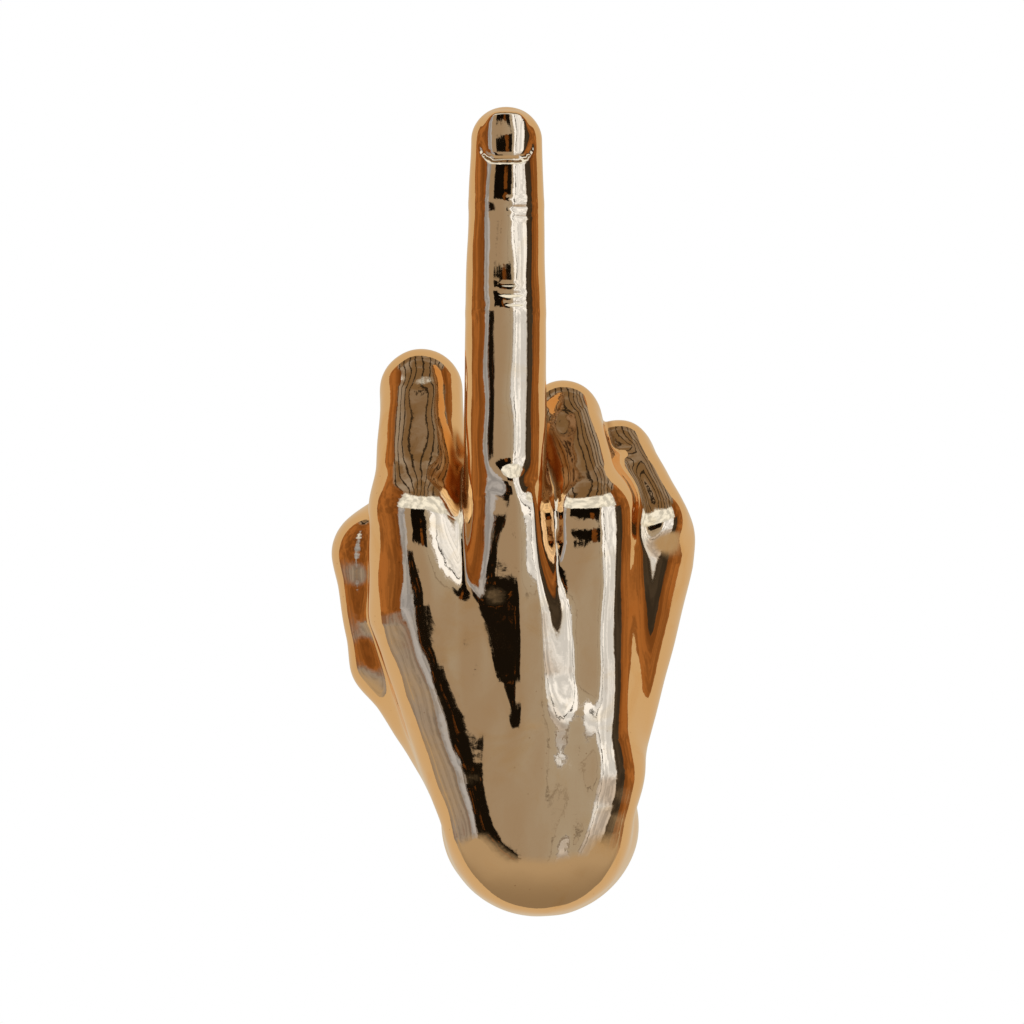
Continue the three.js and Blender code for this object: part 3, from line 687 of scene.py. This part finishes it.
for side in ("left", "right"):
    wallScrew = screwObject(f"wallScrew.{side}", f"wall_screw_{side}", wallScrewLook, 1)
    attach(wallScrew, "wall_fixing")
    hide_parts(f"wall_screw_{side}")
    plateScrew = screwObject(f"plateScrew.{side}", f"plate_screw_{side}", plateScrewLook, -1)
    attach(plateScrew, "sculpture")
    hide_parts(f"plate_screw_{side}")
print("screws: threads and cross recesses cut")

wallPlugLook = {
    "sides": 72, "lip": 4.5, "body": 3.5, "bore": 2.3, "taper": 6, "taperBy": 0.5, "step": 0.3,
    "ribs": 2.4, "ribDepth": 0.34, "ribFrom": 0.55, "key": 0.45, "keyFrom": 0.93, "keyTo": 0.8,
    "split": 0.55, "splitFrom": 7, "splitDepth": 1.0, "splitEdge": 0.12,
    # a radius by name, what is added to it, and the distance from that end
    "tipProfile": [("bore", -0.2, -1.2), ("bore", 0, -0.2), ("body", -0.8, 0)],
    "lipProfile": [("body", 0, 0.95), ("lip", -0.2, 0.8), ("lip", 0, 0.6), ("lip", 0, 0.15),
                   ("lip", -0.15, 0), ("bore", 0.2, 0), ("bore", 0, 0.25), ("bore", 0, 12)],
    "bodyFrom": 1.2,
}


def wallPlugObject(name, node):
    look = wallPlugLook
    middle, low, high = middleOf(node)
    turn = np.linspace(0, 2 * math.pi, look["sides"], endpoint=False)
    stations = []

    def ring(radius, y):
        stations.append((middle[0] - radius * np.cos(turn), y + 0 * turn, middle[2] + radius * np.sin(turn)))

    for radius, more, out in look["tipProfile"]:
        ring(look[radius] + more, high[1] + out)
    for y in np.arange(high[1] - look["step"], low[1] + look["bodyFrom"], -look["step"]):
        lean = min(1, (high[1] - y) / look["taper"])
        radius = look["body"] - look["taperBy"] * (1 - lean)
        rib = abs((y / look["ribs"]) % 1 - 0.5) * 2
        slit = np.minimum(np.abs(np.sin(turn)), np.abs(np.cos(turn))) * radius
        cut = np.clip((look["split"] / 2 - slit) / look["splitEdge"] + 0.5, 0, 1)
        cut = cut * (y > low[1] + look["splitFrom"])
        key = look["key"] * (np.abs(np.sin(2 * turn)) > look["keyFrom"]) * (rib < look["keyTo"])
        ring(radius - look["ribDepth"] * (rib > look["ribFrom"]) - look["splitDepth"] * cut - key, y)
    for radius, more, out in look["lipProfile"]:
        ring(look[radius] + more, low[1] + out)
    return latheObject(name, stations, look["sides"])


for side in ("left", "right"):
    wallPlug = wallPlugObject(f"wallPlug.{side}", f"wall_plug_{side}")
    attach(wallPlug, "wall_fixing")
    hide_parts(f"wall_plug_{side}")
print("wall plugs: ribbed and split")


def arc(x, z, radius, start, end, steps=28):
    turn = np.radians(np.linspace(start, end, steps))
    return [(x + radius * math.cos(t), z + radius * math.sin(t)) for t in turn]


def pressedObject(name, outlines, low, high, bevel):  # flat outlines in the wall's plane, with rounded edges
    shape = bpy.data.curves.new(name, "CURVE")
    shape.dimensions = "2D"
    shape.fill_mode = "BOTH"
    shape.extrude = (high - low) / 2 - bevel
    shape.bevel_depth = bevel
    shape.bevel_resolution = 3
    shape.offset = -bevel
    for outline in outlines:
        spline = shape.splines.new("POLY")
        spline.points.add(len(outline) - 1)
        spline.points.foreach_set("co", [c for x, z in outline for c in (x, z, 0, 1)])
        spline.use_cyclic_u = True
    pattern = placed(name + "Pattern", shape)
    pressed = bpy.data.meshes.new_from_object(pattern.evaluated_get(bpy.context.evaluated_depsgraph_get()))
    x, z, depth = placesOf(pressed).T
    faces = [face.vertices[:] for face in pressed.polygons]
    bpy.data.objects.remove(pattern)
    bpy.data.curves.remove(shape)
    bpy.data.meshes.remove(pressed)
    made = meshObject(name, np.stack([x, (low + high) / 2 - depth, z], 1), faces)
    weld = bmesh.new()
    weld.from_mesh(made.data)
    bmesh.ops.remove_doubles(weld, verts=weld.verts[:], dist=1e-6)
    bmesh.ops.recalc_face_normals(weld, faces=weld.faces[:])
    weld.to_mesh(made.data)
    weld.free()
    sharpFrom = 35
    made.data.set_sharp_from_angle(angle=math.radians(sharpFrom))
    return made


plateLook = {
    "spacing": 15, "slotWidth": 4.6, "entry": 4.5, "top": 3.5, "foot": -3.5,
    "screwHole": 1.75, "screwX": 15.3, "holeTurn": 345, "bevel": 0.18,  # a last side closes the hole
}


def plateOutlines():
    look = plateLook
    _, low, high = middleOf("keyhole_plate")
    half = (high[2] - low[2]) / 2
    reach = (high[0] - low[0]) / 2 - half
    outlines = [arc(reach, 0, half, -90, 90) + arc(-reach, 0, half, 90, 270)]
    neck = math.degrees(math.acos(look["slotWidth"] / 2 / look["entry"]))
    for side in (-1, 1):
        x = side * look["spacing"] / 2
        keyhole = arc(x, look["top"], look["slotWidth"] / 2, 0, 180)
        keyhole += arc(x, look["foot"], look["entry"], 180 - neck, 360 + neck)
        outlines += [keyhole, arc(side * look["screwX"], 0, look["screwHole"], 0, look["holeTurn"])]
    return outlines, low[1], high[1]


plateShape, plateLow, plateHigh = plateOutlines()
keyholePlate = pressedObject("keyholePlate", plateShape, plateLow, plateHigh, plateLook["bevel"])
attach(keyholePlate, "sculpture")
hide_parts("keyhole_plate")
print("keyhole plate: pressed")

feltLook = {
    "inset": 0.25, "around": 420, "across": 16, "edge": 0.45, "fuzz": 0.07, "seed": 11,
    "dark": (0.022, 0.02, 0.019, 1), "light": (0.075, 0.07, 0.066, 1), "clump": (0.03, 0.028, 0.027, 1),
    # noises: scale to the metre, detail, roughness and distortion
    "fibres": (1800.0, 4.0, 0.7, 2.5), "fibreFrom": (0.3, 0.75),
    "clumps": (260.0, 3.0, 0.6), "clumpFrom": (0.35, 0.7), "clumpShare": 0.5,
    "roughness": 0.95, "sheen": 0.35, "relief": 0.00018,
}


def feltRing(name, node):
    look = feltLook
    _, low, high = middleOf(node)
    outerWidth, outerHeight = (high[0] - low[0]) / 2, (high[2] - low[2]) / 2
    wide = outerWidth - stubEnd["halfWidth"]
    rng = np.random.default_rng(look["seed"])
    turn = np.linspace(0, 2 * math.pi, look["around"], endpoint=False)
    profile = []
    for share in np.linspace(0, 1, look["across"]):  # back face inwards, then the front face outwards
        profile.append((share, high[1] - (look["edge"] if share in (0, 1) else 0)))
    for share in np.linspace(1, 0, look["across"]):
        profile.append((share, low[1] + (look["edge"] if share in (0, 1) else 0)))
    vertices = []
    for share, y in profile:
        inset = look["inset"] + share * (wide - 2 * look["inset"])
        fuzz = rng.normal(0, look["fuzz"], (2, look["around"]))
        lift = -np.abs(fuzz[1]) if y > (low[1] + high[1]) / 2 else np.abs(fuzz[1])
        vertices.append(np.stack([(outerWidth - inset + fuzz[0]) * np.cos(turn), y + lift,
                                  (outerHeight - inset + fuzz[0]) * np.sin(turn)], 1))
    around = look["around"]
    faces = []
    for i in range(len(profile)):
        row, nextRow = i * around, (i + 1) % len(profile) * around
        for j in range(around):
            k = (j + 1) % around
            faces.append((row + j, nextRow + j, nextRow + k, row + k))
    return meshObject(name, np.concatenate(vertices), faces)


wallPad = feltRing("wallPad", "wall_pad")
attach(wallPad, "sculpture")
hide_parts("wall_pad")
print("wall pad: felted")


# Finishes
def feed(tree, value, socket):
    if isinstance(value, bpy.types.NodeSocket):
        tree.links.new(value, socket)
    else:
        socket.default_value = value


def addNode(tree, kind, inputs=None, **settings):
    node = tree.nodes.new(kind)
    for name, value in settings.items():
        setattr(node, name, value)
    for name, value in (inputs or {}).items():
        feed(tree, value, node.inputs[name])
    return node


def reckon(tree, operation, *values):
    node = addNode(tree, "ShaderNodeMath", operation=operation)
    for value, socket in zip(values, node.inputs):
        feed(tree, value, socket)
    return node.outputs[0]


def eased(tree, value, low, high, start=0.0, end=1.0):
    inputs = {"Value": value, "From Min": low, "From Max": high, "To Min": start, "To Max": end}
    return addNode(tree, "ShaderNodeMapRange", inputs, interpolation_type="SMOOTHSTEP").outputs["Result"]


def mixed(tree, share, first, second):
    node = addNode(tree, "ShaderNodeMix", data_type="RGBA")
    for name, kind, value in (("Factor", "VALUE", share), ("A", "RGBA", first), ("B", "RGBA", second)):
        socket = next(s for s in node.inputs if s.name == name and s.type == kind)
        feed(tree, value, socket)
    return next(s for s in node.outputs if s.type == "RGBA")


def noise(tree, vector, scale, detail=2.0, roughness=0.5, distortion=0.0):
    node = addNode(tree, "ShaderNodeTexNoise", {"Vector": vector, "Scale": scale, "Detail": detail,
                                               "Roughness": roughness, "Distortion": distortion})
    return node.outputs["Fac"]


def newGroup(name, outputs):
    group = bpy.data.node_groups.new(name, "ShaderNodeTree")
    size = group.interface.new_socket("Size", in_out="INPUT", socket_type="NodeSocketFloat")
    size.default_value = 1.0
    for label in outputs:
        group.interface.new_socket(label, in_out="OUTPUT", socket_type="NodeSocketFloat")
    given = addNode(group, "NodeGroupInput")
    place = addNode(group, "ShaderNodeTexCoord").outputs["Object"]
    scaled = addNode(group, "ShaderNodeVectorMath", {"Vector": place, "Scale": given.outputs["Size"]},
                     operation="SCALE")
    return group, scaled.outputs["Vector"], addNode(group, "NodeGroupOutput")


def putOut(group, result, **values):
    for name, value in values.items():
        feed(group, value, result.inputs[name])
    return group


def dots(tree, place, scale, size):
    cells = addNode(tree, "ShaderNodeTexVoronoi", {"Vector": place, "Scale": scale}, feature="F1")
    return eased(tree, cells.outputs["Distance"], *size)


# Noises: scale to the metre, detail, roughness and distortion. Pairs: where an effect starts and is full.
platingTexture = {
    "swell": (170.0, 2.0, 0.45, 0.4), "peel": (620.0, 2.0, 0.5), "peelShare": 0.22,
    "smudges": (55.0, 5.0, 0.6, 1.2), "smudgeFrom": (0.5, 0.72),
    "specks": 380.0, "speckSize": (0.1, 0.05), "speckPatches": (90.0, 2.0), "speckFrom": (0.52, 0.6),
    "scratchTurn": (0.5, 0.3, 0.9), "scratchStretch": (1500.0, 45.0, 60.0), "scratchWidth": (0.012, 0.003),
    "scratchPatches": (70.0, 2.0), "scratchFrom": (0.55, 0.68),
}
mouldTexture = {
    "grain": (2600.0, 3.0, 0.6), "mottle": (160.0, 4.0, 0.55),
    "pits": 900.0, "pitSize": (0.26, 0.08), "pitPatches": (330.0, 1.0), "pitFrom": (0.55, 0.62),
}


def platingMarksGroup():  # what a bright plated surface shows close up
    look = platingTexture
    group, place, result = newGroup("platingMarks", ["Ripple", "Smudge", "Speck", "Scratch"])
    swell = noise(group, place, *look["swell"])
    ripple = reckon(group, "MULTIPLY_ADD", noise(group, place, *look["peel"]), look["peelShare"], swell)
    smudge = eased(group, noise(group, place, *look["smudges"]), *look["smudgeFrom"])
    sparse = eased(group, noise(group, place, *look["speckPatches"]), *look["speckFrom"])
    speck = reckon(group, "MULTIPLY", dots(group, place, look["specks"], look["speckSize"]), sparse)
    stretch = {"Vector": place, "Rotation": look["scratchTurn"], "Scale": look["scratchStretch"]}
    drawn = addNode(group, "ShaderNodeMapping", stretch).outputs["Vector"]
    line = reckon(group, "ABSOLUTE", reckon(group, "SUBTRACT", noise(group, drawn, 1.0, 1.0), 0.5))
    patch = eased(group, noise(group, place, *look["scratchPatches"]), *look["scratchFrom"])
    scratch = reckon(group, "MULTIPLY", eased(group, line, *look["scratchWidth"]), patch)
    return putOut(group, result, Ripple=ripple, Smudge=smudge, Speck=speck, Scratch=scratch)


def mouldGrainGroup():  # the skin of a moulded or cast plastic
    look = mouldTexture
    group, place, result = newGroup("mouldGrain", ["Grain", "Mottle", "Pit"])
    grain = noise(group, place, *look["grain"])
    mottle = noise(group, place, *look["mottle"])
    chosen = eased(group, noise(group, place, *look["pitPatches"]), *look["pitFrom"])
    pit = reckon(group, "MULTIPLY", dots(group, place, look["pits"], look["pitSize"]), chosen)
    return putOut(group, result, Grain=grain, Mottle=mottle, Pit=pit)


platingMarks = platingMarksGroup()
mouldGrain = mouldGrainGroup()


def newMaterial(name, group=None, size=1.0):
    material = bpy.data.materials.new(name)
    material.use_nodes = True
    tree = material.node_tree
    shader = next(node for node in tree.nodes if node.type == "BSDF_PRINCIPLED")
    effect = None
    if group:
        effect = addNode(tree, "ShaderNodeGroup", node_tree=group)
        effect.inputs["Size"].default_value = size
    return material, tree, shader, effect


def surfaceFrom(tree, shader, tone, rough, height, relief):  # relief is the height's depth in metres
    feed(tree, tone, shader.inputs["Base Color"])
    feed(tree, rough, shader.inputs["Roughness"])
    bump = addNode(tree, "ShaderNodeBump", {"Height": height, "Distance": relief, "Strength": 1.0})
    feed(tree, bump.outputs["Normal"], shader.inputs["Normal"])


# The crease colour is painted shade: a darker, browner gold laid into creases and gaps where less light
# reaches. The specks take the same colour.
goldLook = {
    "bright": (0.95, 0.62, 0.32, 1), "deep": (0.93, 0.57, 0.26, 1), "creaseShade": (0.5, 0.24, 0.08, 1),
    "creaseShadeFrom": (0.3, 0.85), "creaseShadeShare": 0.85, "speckShare": 0.6,
    "roughness": 0.035, "smudge": 0.05, "creaseRough": 0.12, "scratch": 0.08, "ripple": 0.00005,
}


def goldMaterial():
    material, tree, shader, marks = newMaterial("goldPlating", platingMarks)
    shader.inputs["Metallic"].default_value = 1.0
    creaseShade = addNode(tree, "ShaderNodeAttribute", attribute_name="creaseShade").outputs["Fac"]
    # Painted shade: the gold turns darker and browner where the surface lies deep in a crease
    shadeInCreases = eased(tree, creaseShade, *goldLook["creaseShadeFrom"])
    tone = mixed(tree, marks.outputs["Smudge"], goldLook["bright"], goldLook["deep"])
    for mask, share in ((shadeInCreases, goldLook["creaseShadeShare"]), (marks.outputs["Speck"], goldLook["speckShare"])):
        tone = mixed(tree, reckon(tree, "MULTIPLY", mask, share), tone, goldLook["creaseShade"])
    rough = reckon(tree, "MULTIPLY_ADD", marks.outputs["Smudge"], goldLook["smudge"], goldLook["roughness"])
    for mask, share in ((shadeInCreases, goldLook["creaseRough"]), (marks.outputs["Scratch"], goldLook["scratch"])):
        rough = reckon(tree, "MULTIPLY_ADD", mask, share, rough)
    surfaceFrom(tree, shader, tone, rough, marks.outputs["Ripple"], goldLook["ripple"])
    return material


zincLook = {
    "light": (0.6, 0.61, 0.62, 1), "dark": (0.44, 0.45, 0.47, 1), "scratch": (0.75, 0.76, 0.77, 1),
    "size": 3.0, "roughness": 0.24, "smudge": 0.16, "ripple": 0.00002,
}


def zincMaterial():
    material, tree, shader, marks = newMaterial("zincSteel", platingMarks, zincLook["size"])
    shader.inputs["Metallic"].default_value = 1.0
    tone = mixed(tree, marks.outputs["Smudge"], zincLook["light"], zincLook["dark"])
    tone = mixed(tree, marks.outputs["Scratch"], tone, zincLook["scratch"])
    rough = reckon(tree, "MULTIPLY_ADD", marks.outputs["Smudge"], zincLook["smudge"], zincLook["roughness"])
    surfaceFrom(tree, shader, tone, rough, marks.outputs["Ripple"], zincLook["ripple"])
    return material


nylonLook = {
    "light": (0.6, 0.58, 0.53, 1), "dark": (0.52, 0.5, 0.45, 1), "mottleFrom": (0.35, 0.65),
    "size": 1.0, "roughness": 0.38, "grainRough": 0.18, "pit": 0.6, "relief": 0.00002,
}
plugLook = {
    "light": (0.036, 0.035, 0.034, 1), "dark": (0.022, 0.021, 0.02, 1), "mottleFrom": (0.35, 0.65),
    "size": 0.6, "roughness": 0.5, "grainRough": 0.18, "pit": 3.0, "relief": 0.00006,
}


def mouldedMaterial(name, look):
    material, tree, shader, grain = newMaterial(name, mouldGrain, look["size"])
    tone = mixed(tree, eased(tree, grain.outputs["Mottle"], *look["mottleFrom"]), look["dark"], look["light"])
    rough = reckon(tree, "MULTIPLY_ADD", grain.outputs["Grain"], look["grainRough"], look["roughness"])
    height = reckon(tree, "MULTIPLY_ADD", grain.outputs["Pit"], -look["pit"], grain.outputs["Grain"])
    surfaceFrom(tree, shader, tone, rough, height, look["relief"])
    return material


def feltMaterial():
    look = feltLook
    material, tree, shader, _ = newMaterial("pressedFelt")
    place = addNode(tree, "ShaderNodeTexCoord").outputs["Object"]
    fibre = noise(tree, place, *look["fibres"])
    clump = noise(tree, place, *look["clumps"])
    tone = mixed(tree, eased(tree, fibre, *look["fibreFrom"]), look["dark"], look["light"])
    tone = mixed(tree, eased(tree, clump, *look["clumpFrom"], 0.0, look["clumpShare"]), tone, look["clump"])
    shader.inputs["Sheen Weight"].default_value = look["sheen"]
    height = reckon(tree, "MULTIPLY_ADD", clump, look["clumpShare"], fibre)
    surfaceFrom(tree, shader, tone, look["roughness"], height, look["relief"])
    return material


goldPlating = goldMaterial()
zincSteel = zincMaterial()
nylon = mouldedMaterial("nylon", nylonLook)
plugResin = mouldedMaterial("plugResin", plugLook)
pressedFelt = feltMaterial()


def dress(piece, material):
    piece.data.materials.clear()
    piece.data.materials.append(material)


dress(handPiece, goldPlating)
dress(keyholePlate, zincSteel)
dress(wallPad, pressedFelt)
dress(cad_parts["back_plug"], plugResin)
for side in ("left", "right"):
    dress(bpy.data.objects[f"wallScrew.{side}"], zincSteel)
    dress(bpy.data.objects[f"plateScrew.{side}"], zincSteel)
    dress(bpy.data.objects[f"wallPlug.{side}"], nylon)
print("finishes on")

# The room: a white wall behind, a pale floor, and what a bright casting sees in front of it
room = {
    "wallHalfWidth": 0.26, "wallTop": 0.46, "wallBack": 0.0004,
    "floor": -0.45, "floorHalfWidth": 0.8, "front": -0.8, "cove": 0.25, "coveSteps": 12,
    "roughness": 0.9, "specular": 0.1,
}


def stageSheet(name, points, wide):
    vertices = [(x, y, z) for y, z in points for x in (-wide, wide)]
    faces = [(2 * i, 2 * i + 2, 2 * i + 3, 2 * i + 1) for i in range(len(points) - 1)]
    mesh = bpy.data.meshes.new(name)
    mesh.from_pydata(vertices, [], faces)
    mesh.shade_smooth()
    made = placed(name, mesh)
    return made


def stageMaterial(name, look):  # inMetal is its colour as metal shows it, near the middle and far from it
    material, tree, shader, _ = newMaterial(name)
    shader.inputs["Roughness"].default_value = room["roughness"]
    shader.inputs["Specular IOR Level"].default_value = room["specular"]
    shader.inputs["Base Color"].default_value = look["colour"]
    light = addNode(tree, "ShaderNodeLightPath")
    surface = shader.outputs["BSDF"]

    def instead(share, other):
        either = addNode(tree, "ShaderNodeMixShader", {"Fac": share})
        tree.links.new(surface, either.inputs[1])
        tree.links.new(other, either.inputs[2])
        return either.outputs["Shader"]

    place = addNode(tree, "ShaderNodeTexCoord").outputs["Object"]
    level = addNode(tree, "ShaderNodeVectorMath", {"Vector": place, 1: (1, 1, 0)}, operation="MULTIPLY")
    level = level.outputs["Vector"]
    away = addNode(tree, "ShaderNodeVectorMath", {"Vector": level}, operation="LENGTH").outputs["Value"]
    tone = mixed(tree, eased(tree, away, 0.0, room["floorHalfWidth"]), *look["inMetal"])
    glow = addNode(tree, "ShaderNodeEmission", {"Color": tone, "Strength": 1.0})
    surface = instead(light.outputs["Is Glossy Ray"], glow.outputs["Emission"])
    white = addNode(tree, "ShaderNodeEmission", {"Color": (1, 1, 1, 1), "Strength": 1.0})
    paled = reckon(tree, "MULTIPLY", light.outputs["Is Camera Ray"], eased(tree, away, *look["whiteFrom"]))
    surface = instead(paled, white.outputs["Emission"])
    clear = addNode(tree, "ShaderNodeBsdfTransparent")
    surface = instead(addNode(tree, "ShaderNodeNewGeometry").outputs["Backfacing"], clear.outputs["BSDF"])
    tree.links.new(surface, tree.nodes["Material Output"].inputs["Surface"])
    return material


cove = []
for turn in np.linspace(0, math.pi / 2, room["coveSteps"]):
    out = room["cove"] * (1 - math.cos(turn))
    rise = room["cove"] * (1 - math.sin(turn))
    cove.append((room["wallBack"] - out, room["floor"] + rise))
wallEdges = [(room["wallBack"], room["wallTop"]), (room["wallBack"], room["floor"] + room["cove"])]
wall = stageSheet("wall", wallEdges, room["wallHalfWidth"])
floor = stageSheet("floor", cove + [(room["front"], room["floor"])], room["floorHalfWidth"])
whiteWall = {"colour": (0.8, 0.8, 0.8, 1), "inMetal": [(0.64, 0.56, 0.43, 1)] * 2, "whiteFrom": (-2, -1)}
paleFloor = {
    "colour": (0.78, 0.77, 0.75, 1), "inMetal": [(0.28, 0.25, 0.21, 1), (0.455, 0.425, 0.375, 1)],
    "whiteFrom": (0.2, 0.75),  # it runs out to white
}
dress(wall, stageMaterial("whiteWall", whiteWall))
dress(floor, stageMaterial("paleFloor", paleFloor))

# What stands round the camera, by the angle to the right of it and the angle up. Edges are soft by as many
# degrees, and a foot is the edge below.
deepBrown = (0.27, 0.117, 0.036)
midBrown = (0.4, 0.19, 0.066)
nearBlack = (0.008, 0.007, 0.006)
brownFleck = (0.12, 0.05, 0.014)
surroundings = [
    {"colour": deepBrown, "across": (54, 190), "up": (-50, 62), "edge": 1.5},
    {"colour": midBrown, "across": (84, 190), "up": (-50, 62), "edge": 14},
    {"colour": (0.06, 0.057, 0.055), "across": (53, 73), "up": (-50, 24), "edge": 1.5},
    {"colour": deepBrown, "across": (-190, -54), "up": (-50, 62), "edge": 1.5},
    {"colour": midBrown, "across": (-190, -74), "up": (-50, 62), "edge": 12},
    {"colour": (0.32, 0.36, 0.48), "across": (-110, -54), "up": (-50, -13), "edge": 4},
    {"colour": nearBlack, "across": (-40, -24), "up": (-30, 5), "edge": 1.5, "fleck": brownFleck},
    {"colour": nearBlack, "across": (-26, -9), "up": (-30, -5.4), "edge": 1.2, "fleck": brownFleck},
    {"colour": (0.45, 0.6, 1.0), "across": (-54, -40), "up": (-50, 28), "edge": 1.5},
    {"colour": (0.62, 0.74, 1.05), "across": (13.5, 52), "up": (-26, 28), "edge": 1.5},
    {"colour": (1.05, 1.45, 2.4), "across": (13.5, 52), "up": (-7, 28), "edge": 1.5},
    {"colour": (0.27, 0.27, 0.28), "across": (5.6, 6.2), "up": (-26, 28), "edge": 0.3},
    {"colour": (0.25, 0.25, 0.26), "across": (13.2, 13.8), "up": (-26, 28), "edge": 0.3},
    {"colour": (0.04, 0.04, 0.04), "across": (19, 20), "up": (-20, 20), "edge": 0.3},
    {"colour": nearBlack, "across": (-26, 9), "up": (11.5, 27), "edge": 0.6, "foot": 0.8},
    {"colour": (0.2, 0.085, 0.022), "across": (-4, 1), "up": (11.5, 19), "edge": 0.6, "foot": 0.8},
    {"colour": (1.0, 1.35, 2.0), "across": (-58, 58), "up": (27, 55), "edge": 2, "foot": 1},
]
roomLook = {
    "plain": [(0.35, 0.34, 0.34, 1), (0.41, 0.47, 0.56, 1)], "plainAcross": (-12.0, 20.0),
    "acrossClutter": (13.0, 6.0, 0.68), "acrossShift": 12.0,  # clutter breaks up the cards' edges, by degrees
    "upClutter": (17.0, 5.0, 0.65, 0.6), "upShift": 7.0,
    "mottle": (6.0, 4.0, 0.6), "mottleFrom": (0.4, 0.62), "mottleShade": 0.62,
    "flecks": (12.0, 3.0, 0.6), "fleckFrom": (0.34, 0.42),
    "foot": 5, "floorFade": (-30.0, -13.0), "plainLight": (0.5, 0.5, 0.5, 1),
}
ceiling = {
    "dark": (0.03, 0.025, 0.02, 1), "warm": (0.2, 0.155, 0.105, 1), "light": (0.34, 0.36, 0.42, 1),
    "from": (53.0, 57.0), "patches": (3.0, 3.0, 0.5), "patchFrom": (0.42, 0.66), "lineWidth": (0.02, 0.2),
    "lines": {"Scale": 2.4, "Distortion": 3.0, "Detail": 4.0, "Detail Scale": 1.6},
}


def roomWorld():
    look = roomLook
    world = bpy.data.worlds.new("studio")
    world.use_nodes = True
    tree = world.node_tree
    background = tree.nodes["Background"]
    way = addNode(tree, "ShaderNodeTexCoord").outputs["Generated"]
    parts = addNode(tree, "ShaderNodeSeparateXYZ", {"Vector": way}).outputs
    forwards = reckon(tree, "MULTIPLY", parts["Y"], -1.0)

    def shifted(angle, clutter, shift):
        drift = reckon(tree, "SUBTRACT", noise(tree, way, *clutter), 0.5)
        return reckon(tree, "MULTIPLY_ADD", drift, shift, reckon(tree, "DEGREES", angle))

    across = reckon(tree, "ARCTAN2", parts["X"], forwards)
    across = shifted(across, look["acrossClutter"], look["acrossShift"])
    up = shifted(reckon(tree, "ARCSINE", parts["Z"]), look["upClutter"], look["upShift"])

    def within(value, low, high, edge, lowEdge):
        rise = eased(tree, value, low - lowEdge, low + lowEdge)
        fall = eased(tree, value, high - edge, high + edge, 1.0, 0.0)
        return reckon(tree, "MULTIPLY", rise, fall)

    mottle = eased(tree, noise(tree, way, *look["mottle"]), *look["mottleFrom"])
    flecks = eased(tree, noise(tree, way, *look["flecks"]), *look["fleckFrom"])
    colour = mixed(tree, eased(tree, across, *look["plainAcross"]), *look["plain"])
    for card in surroundings:
        here = reckon(tree, "MULTIPLY", within(across, *card["across"], card["edge"], card["edge"]),
                      within(up, *card["up"], card["edge"], card.get("foot", look["foot"])))
        dimmed = card.get("fleck") or [look["mottleShade"] * c for c in card["colour"]]
        pattern = flecks if "fleck" in card else mottle
        shade = mixed(tree, pattern, (*dimmed, 1), (*card["colour"], 1))
        colour = mixed(tree, here, colour, shade)
    colour = mixed(tree, eased(tree, up, *look["floorFade"], 1.0, 0.0), colour, paleFloor["inMetal"][1])
    lines = addNode(tree, "ShaderNodeTexWave", {"Vector": way, **ceiling["lines"]}, bands_direction="X")
    patches = eased(tree, noise(tree, way, *ceiling["patches"]), *ceiling["patchFrom"])
    overhead = mixed(tree, patches, ceiling["warm"], ceiling["light"])
    besideLines = eased(tree, lines.outputs["Fac"], *ceiling["lineWidth"])
    overhead = mixed(tree, besideLines, ceiling["dark"], overhead)
    colour = mixed(tree, eased(tree, up, *ceiling["from"]), colour, overhead)
    light = addNode(tree, "ShaderNodeLightPath").outputs
    colour = mixed(tree, light["Is Diffuse Ray"], colour, look["plainLight"])  # for matt surfaces
    feed(tree, mixed(tree, light["Is Camera Ray"], colour, (1, 1, 1, 1)), background.inputs["Color"])
    return world


scene.world = roomWorld()

lamps = {
    "frontLamp": {"place": (-0.5, -1.6, 1.2), "aim": (0, -0.05, 0.08), "size": 1.0, "watts": 18},
    "backLamp": {"place": (0.6, 1.3, 0.9), "aim": (0, 0, 0.05), "size": 1.0, "watts": 14},
}


def softLamp(name, spec):
    data = bpy.data.lights.new(name, "AREA")
    data.shape = "SQUARE"
    data.size = spec["size"]
    data.energy = spec["watts"]
    lamp = placed(name, data)
    lamp.location = spec["place"]
    x, y, z = np.subtract(spec["place"], spec["aim"])
    lamp.rotation_euler = (math.atan2(math.hypot(x, y), z), 0, math.atan2(x, -y))
    lamp.visible_glossy = False


for name, spec in lamps.items():
    softLamp(name, spec)
print("room and lamps set")

# The camera: square to the wall, a metre in front of the knuckles
view = {"place": (-0.008, -1.074, 0.0861), "distance": 1.0, "width": 0.2731, "sensor": 36.0}
cameraData = bpy.data.cameras.new("camera")
cameraData.sensor_width = view["sensor"]
cameraData.sensor_fit = "HORIZONTAL"
cameraData.lens = view["sensor"] * view["distance"] / view["width"]
camera = placed("camera", cameraData)
camera.location = view["place"]
camera.rotation_euler = (math.pi / 2, 0, 0)
scene.camera = camera
scene.view_settings.view_transform = "Standard"

bpy.context.view_layer.update()
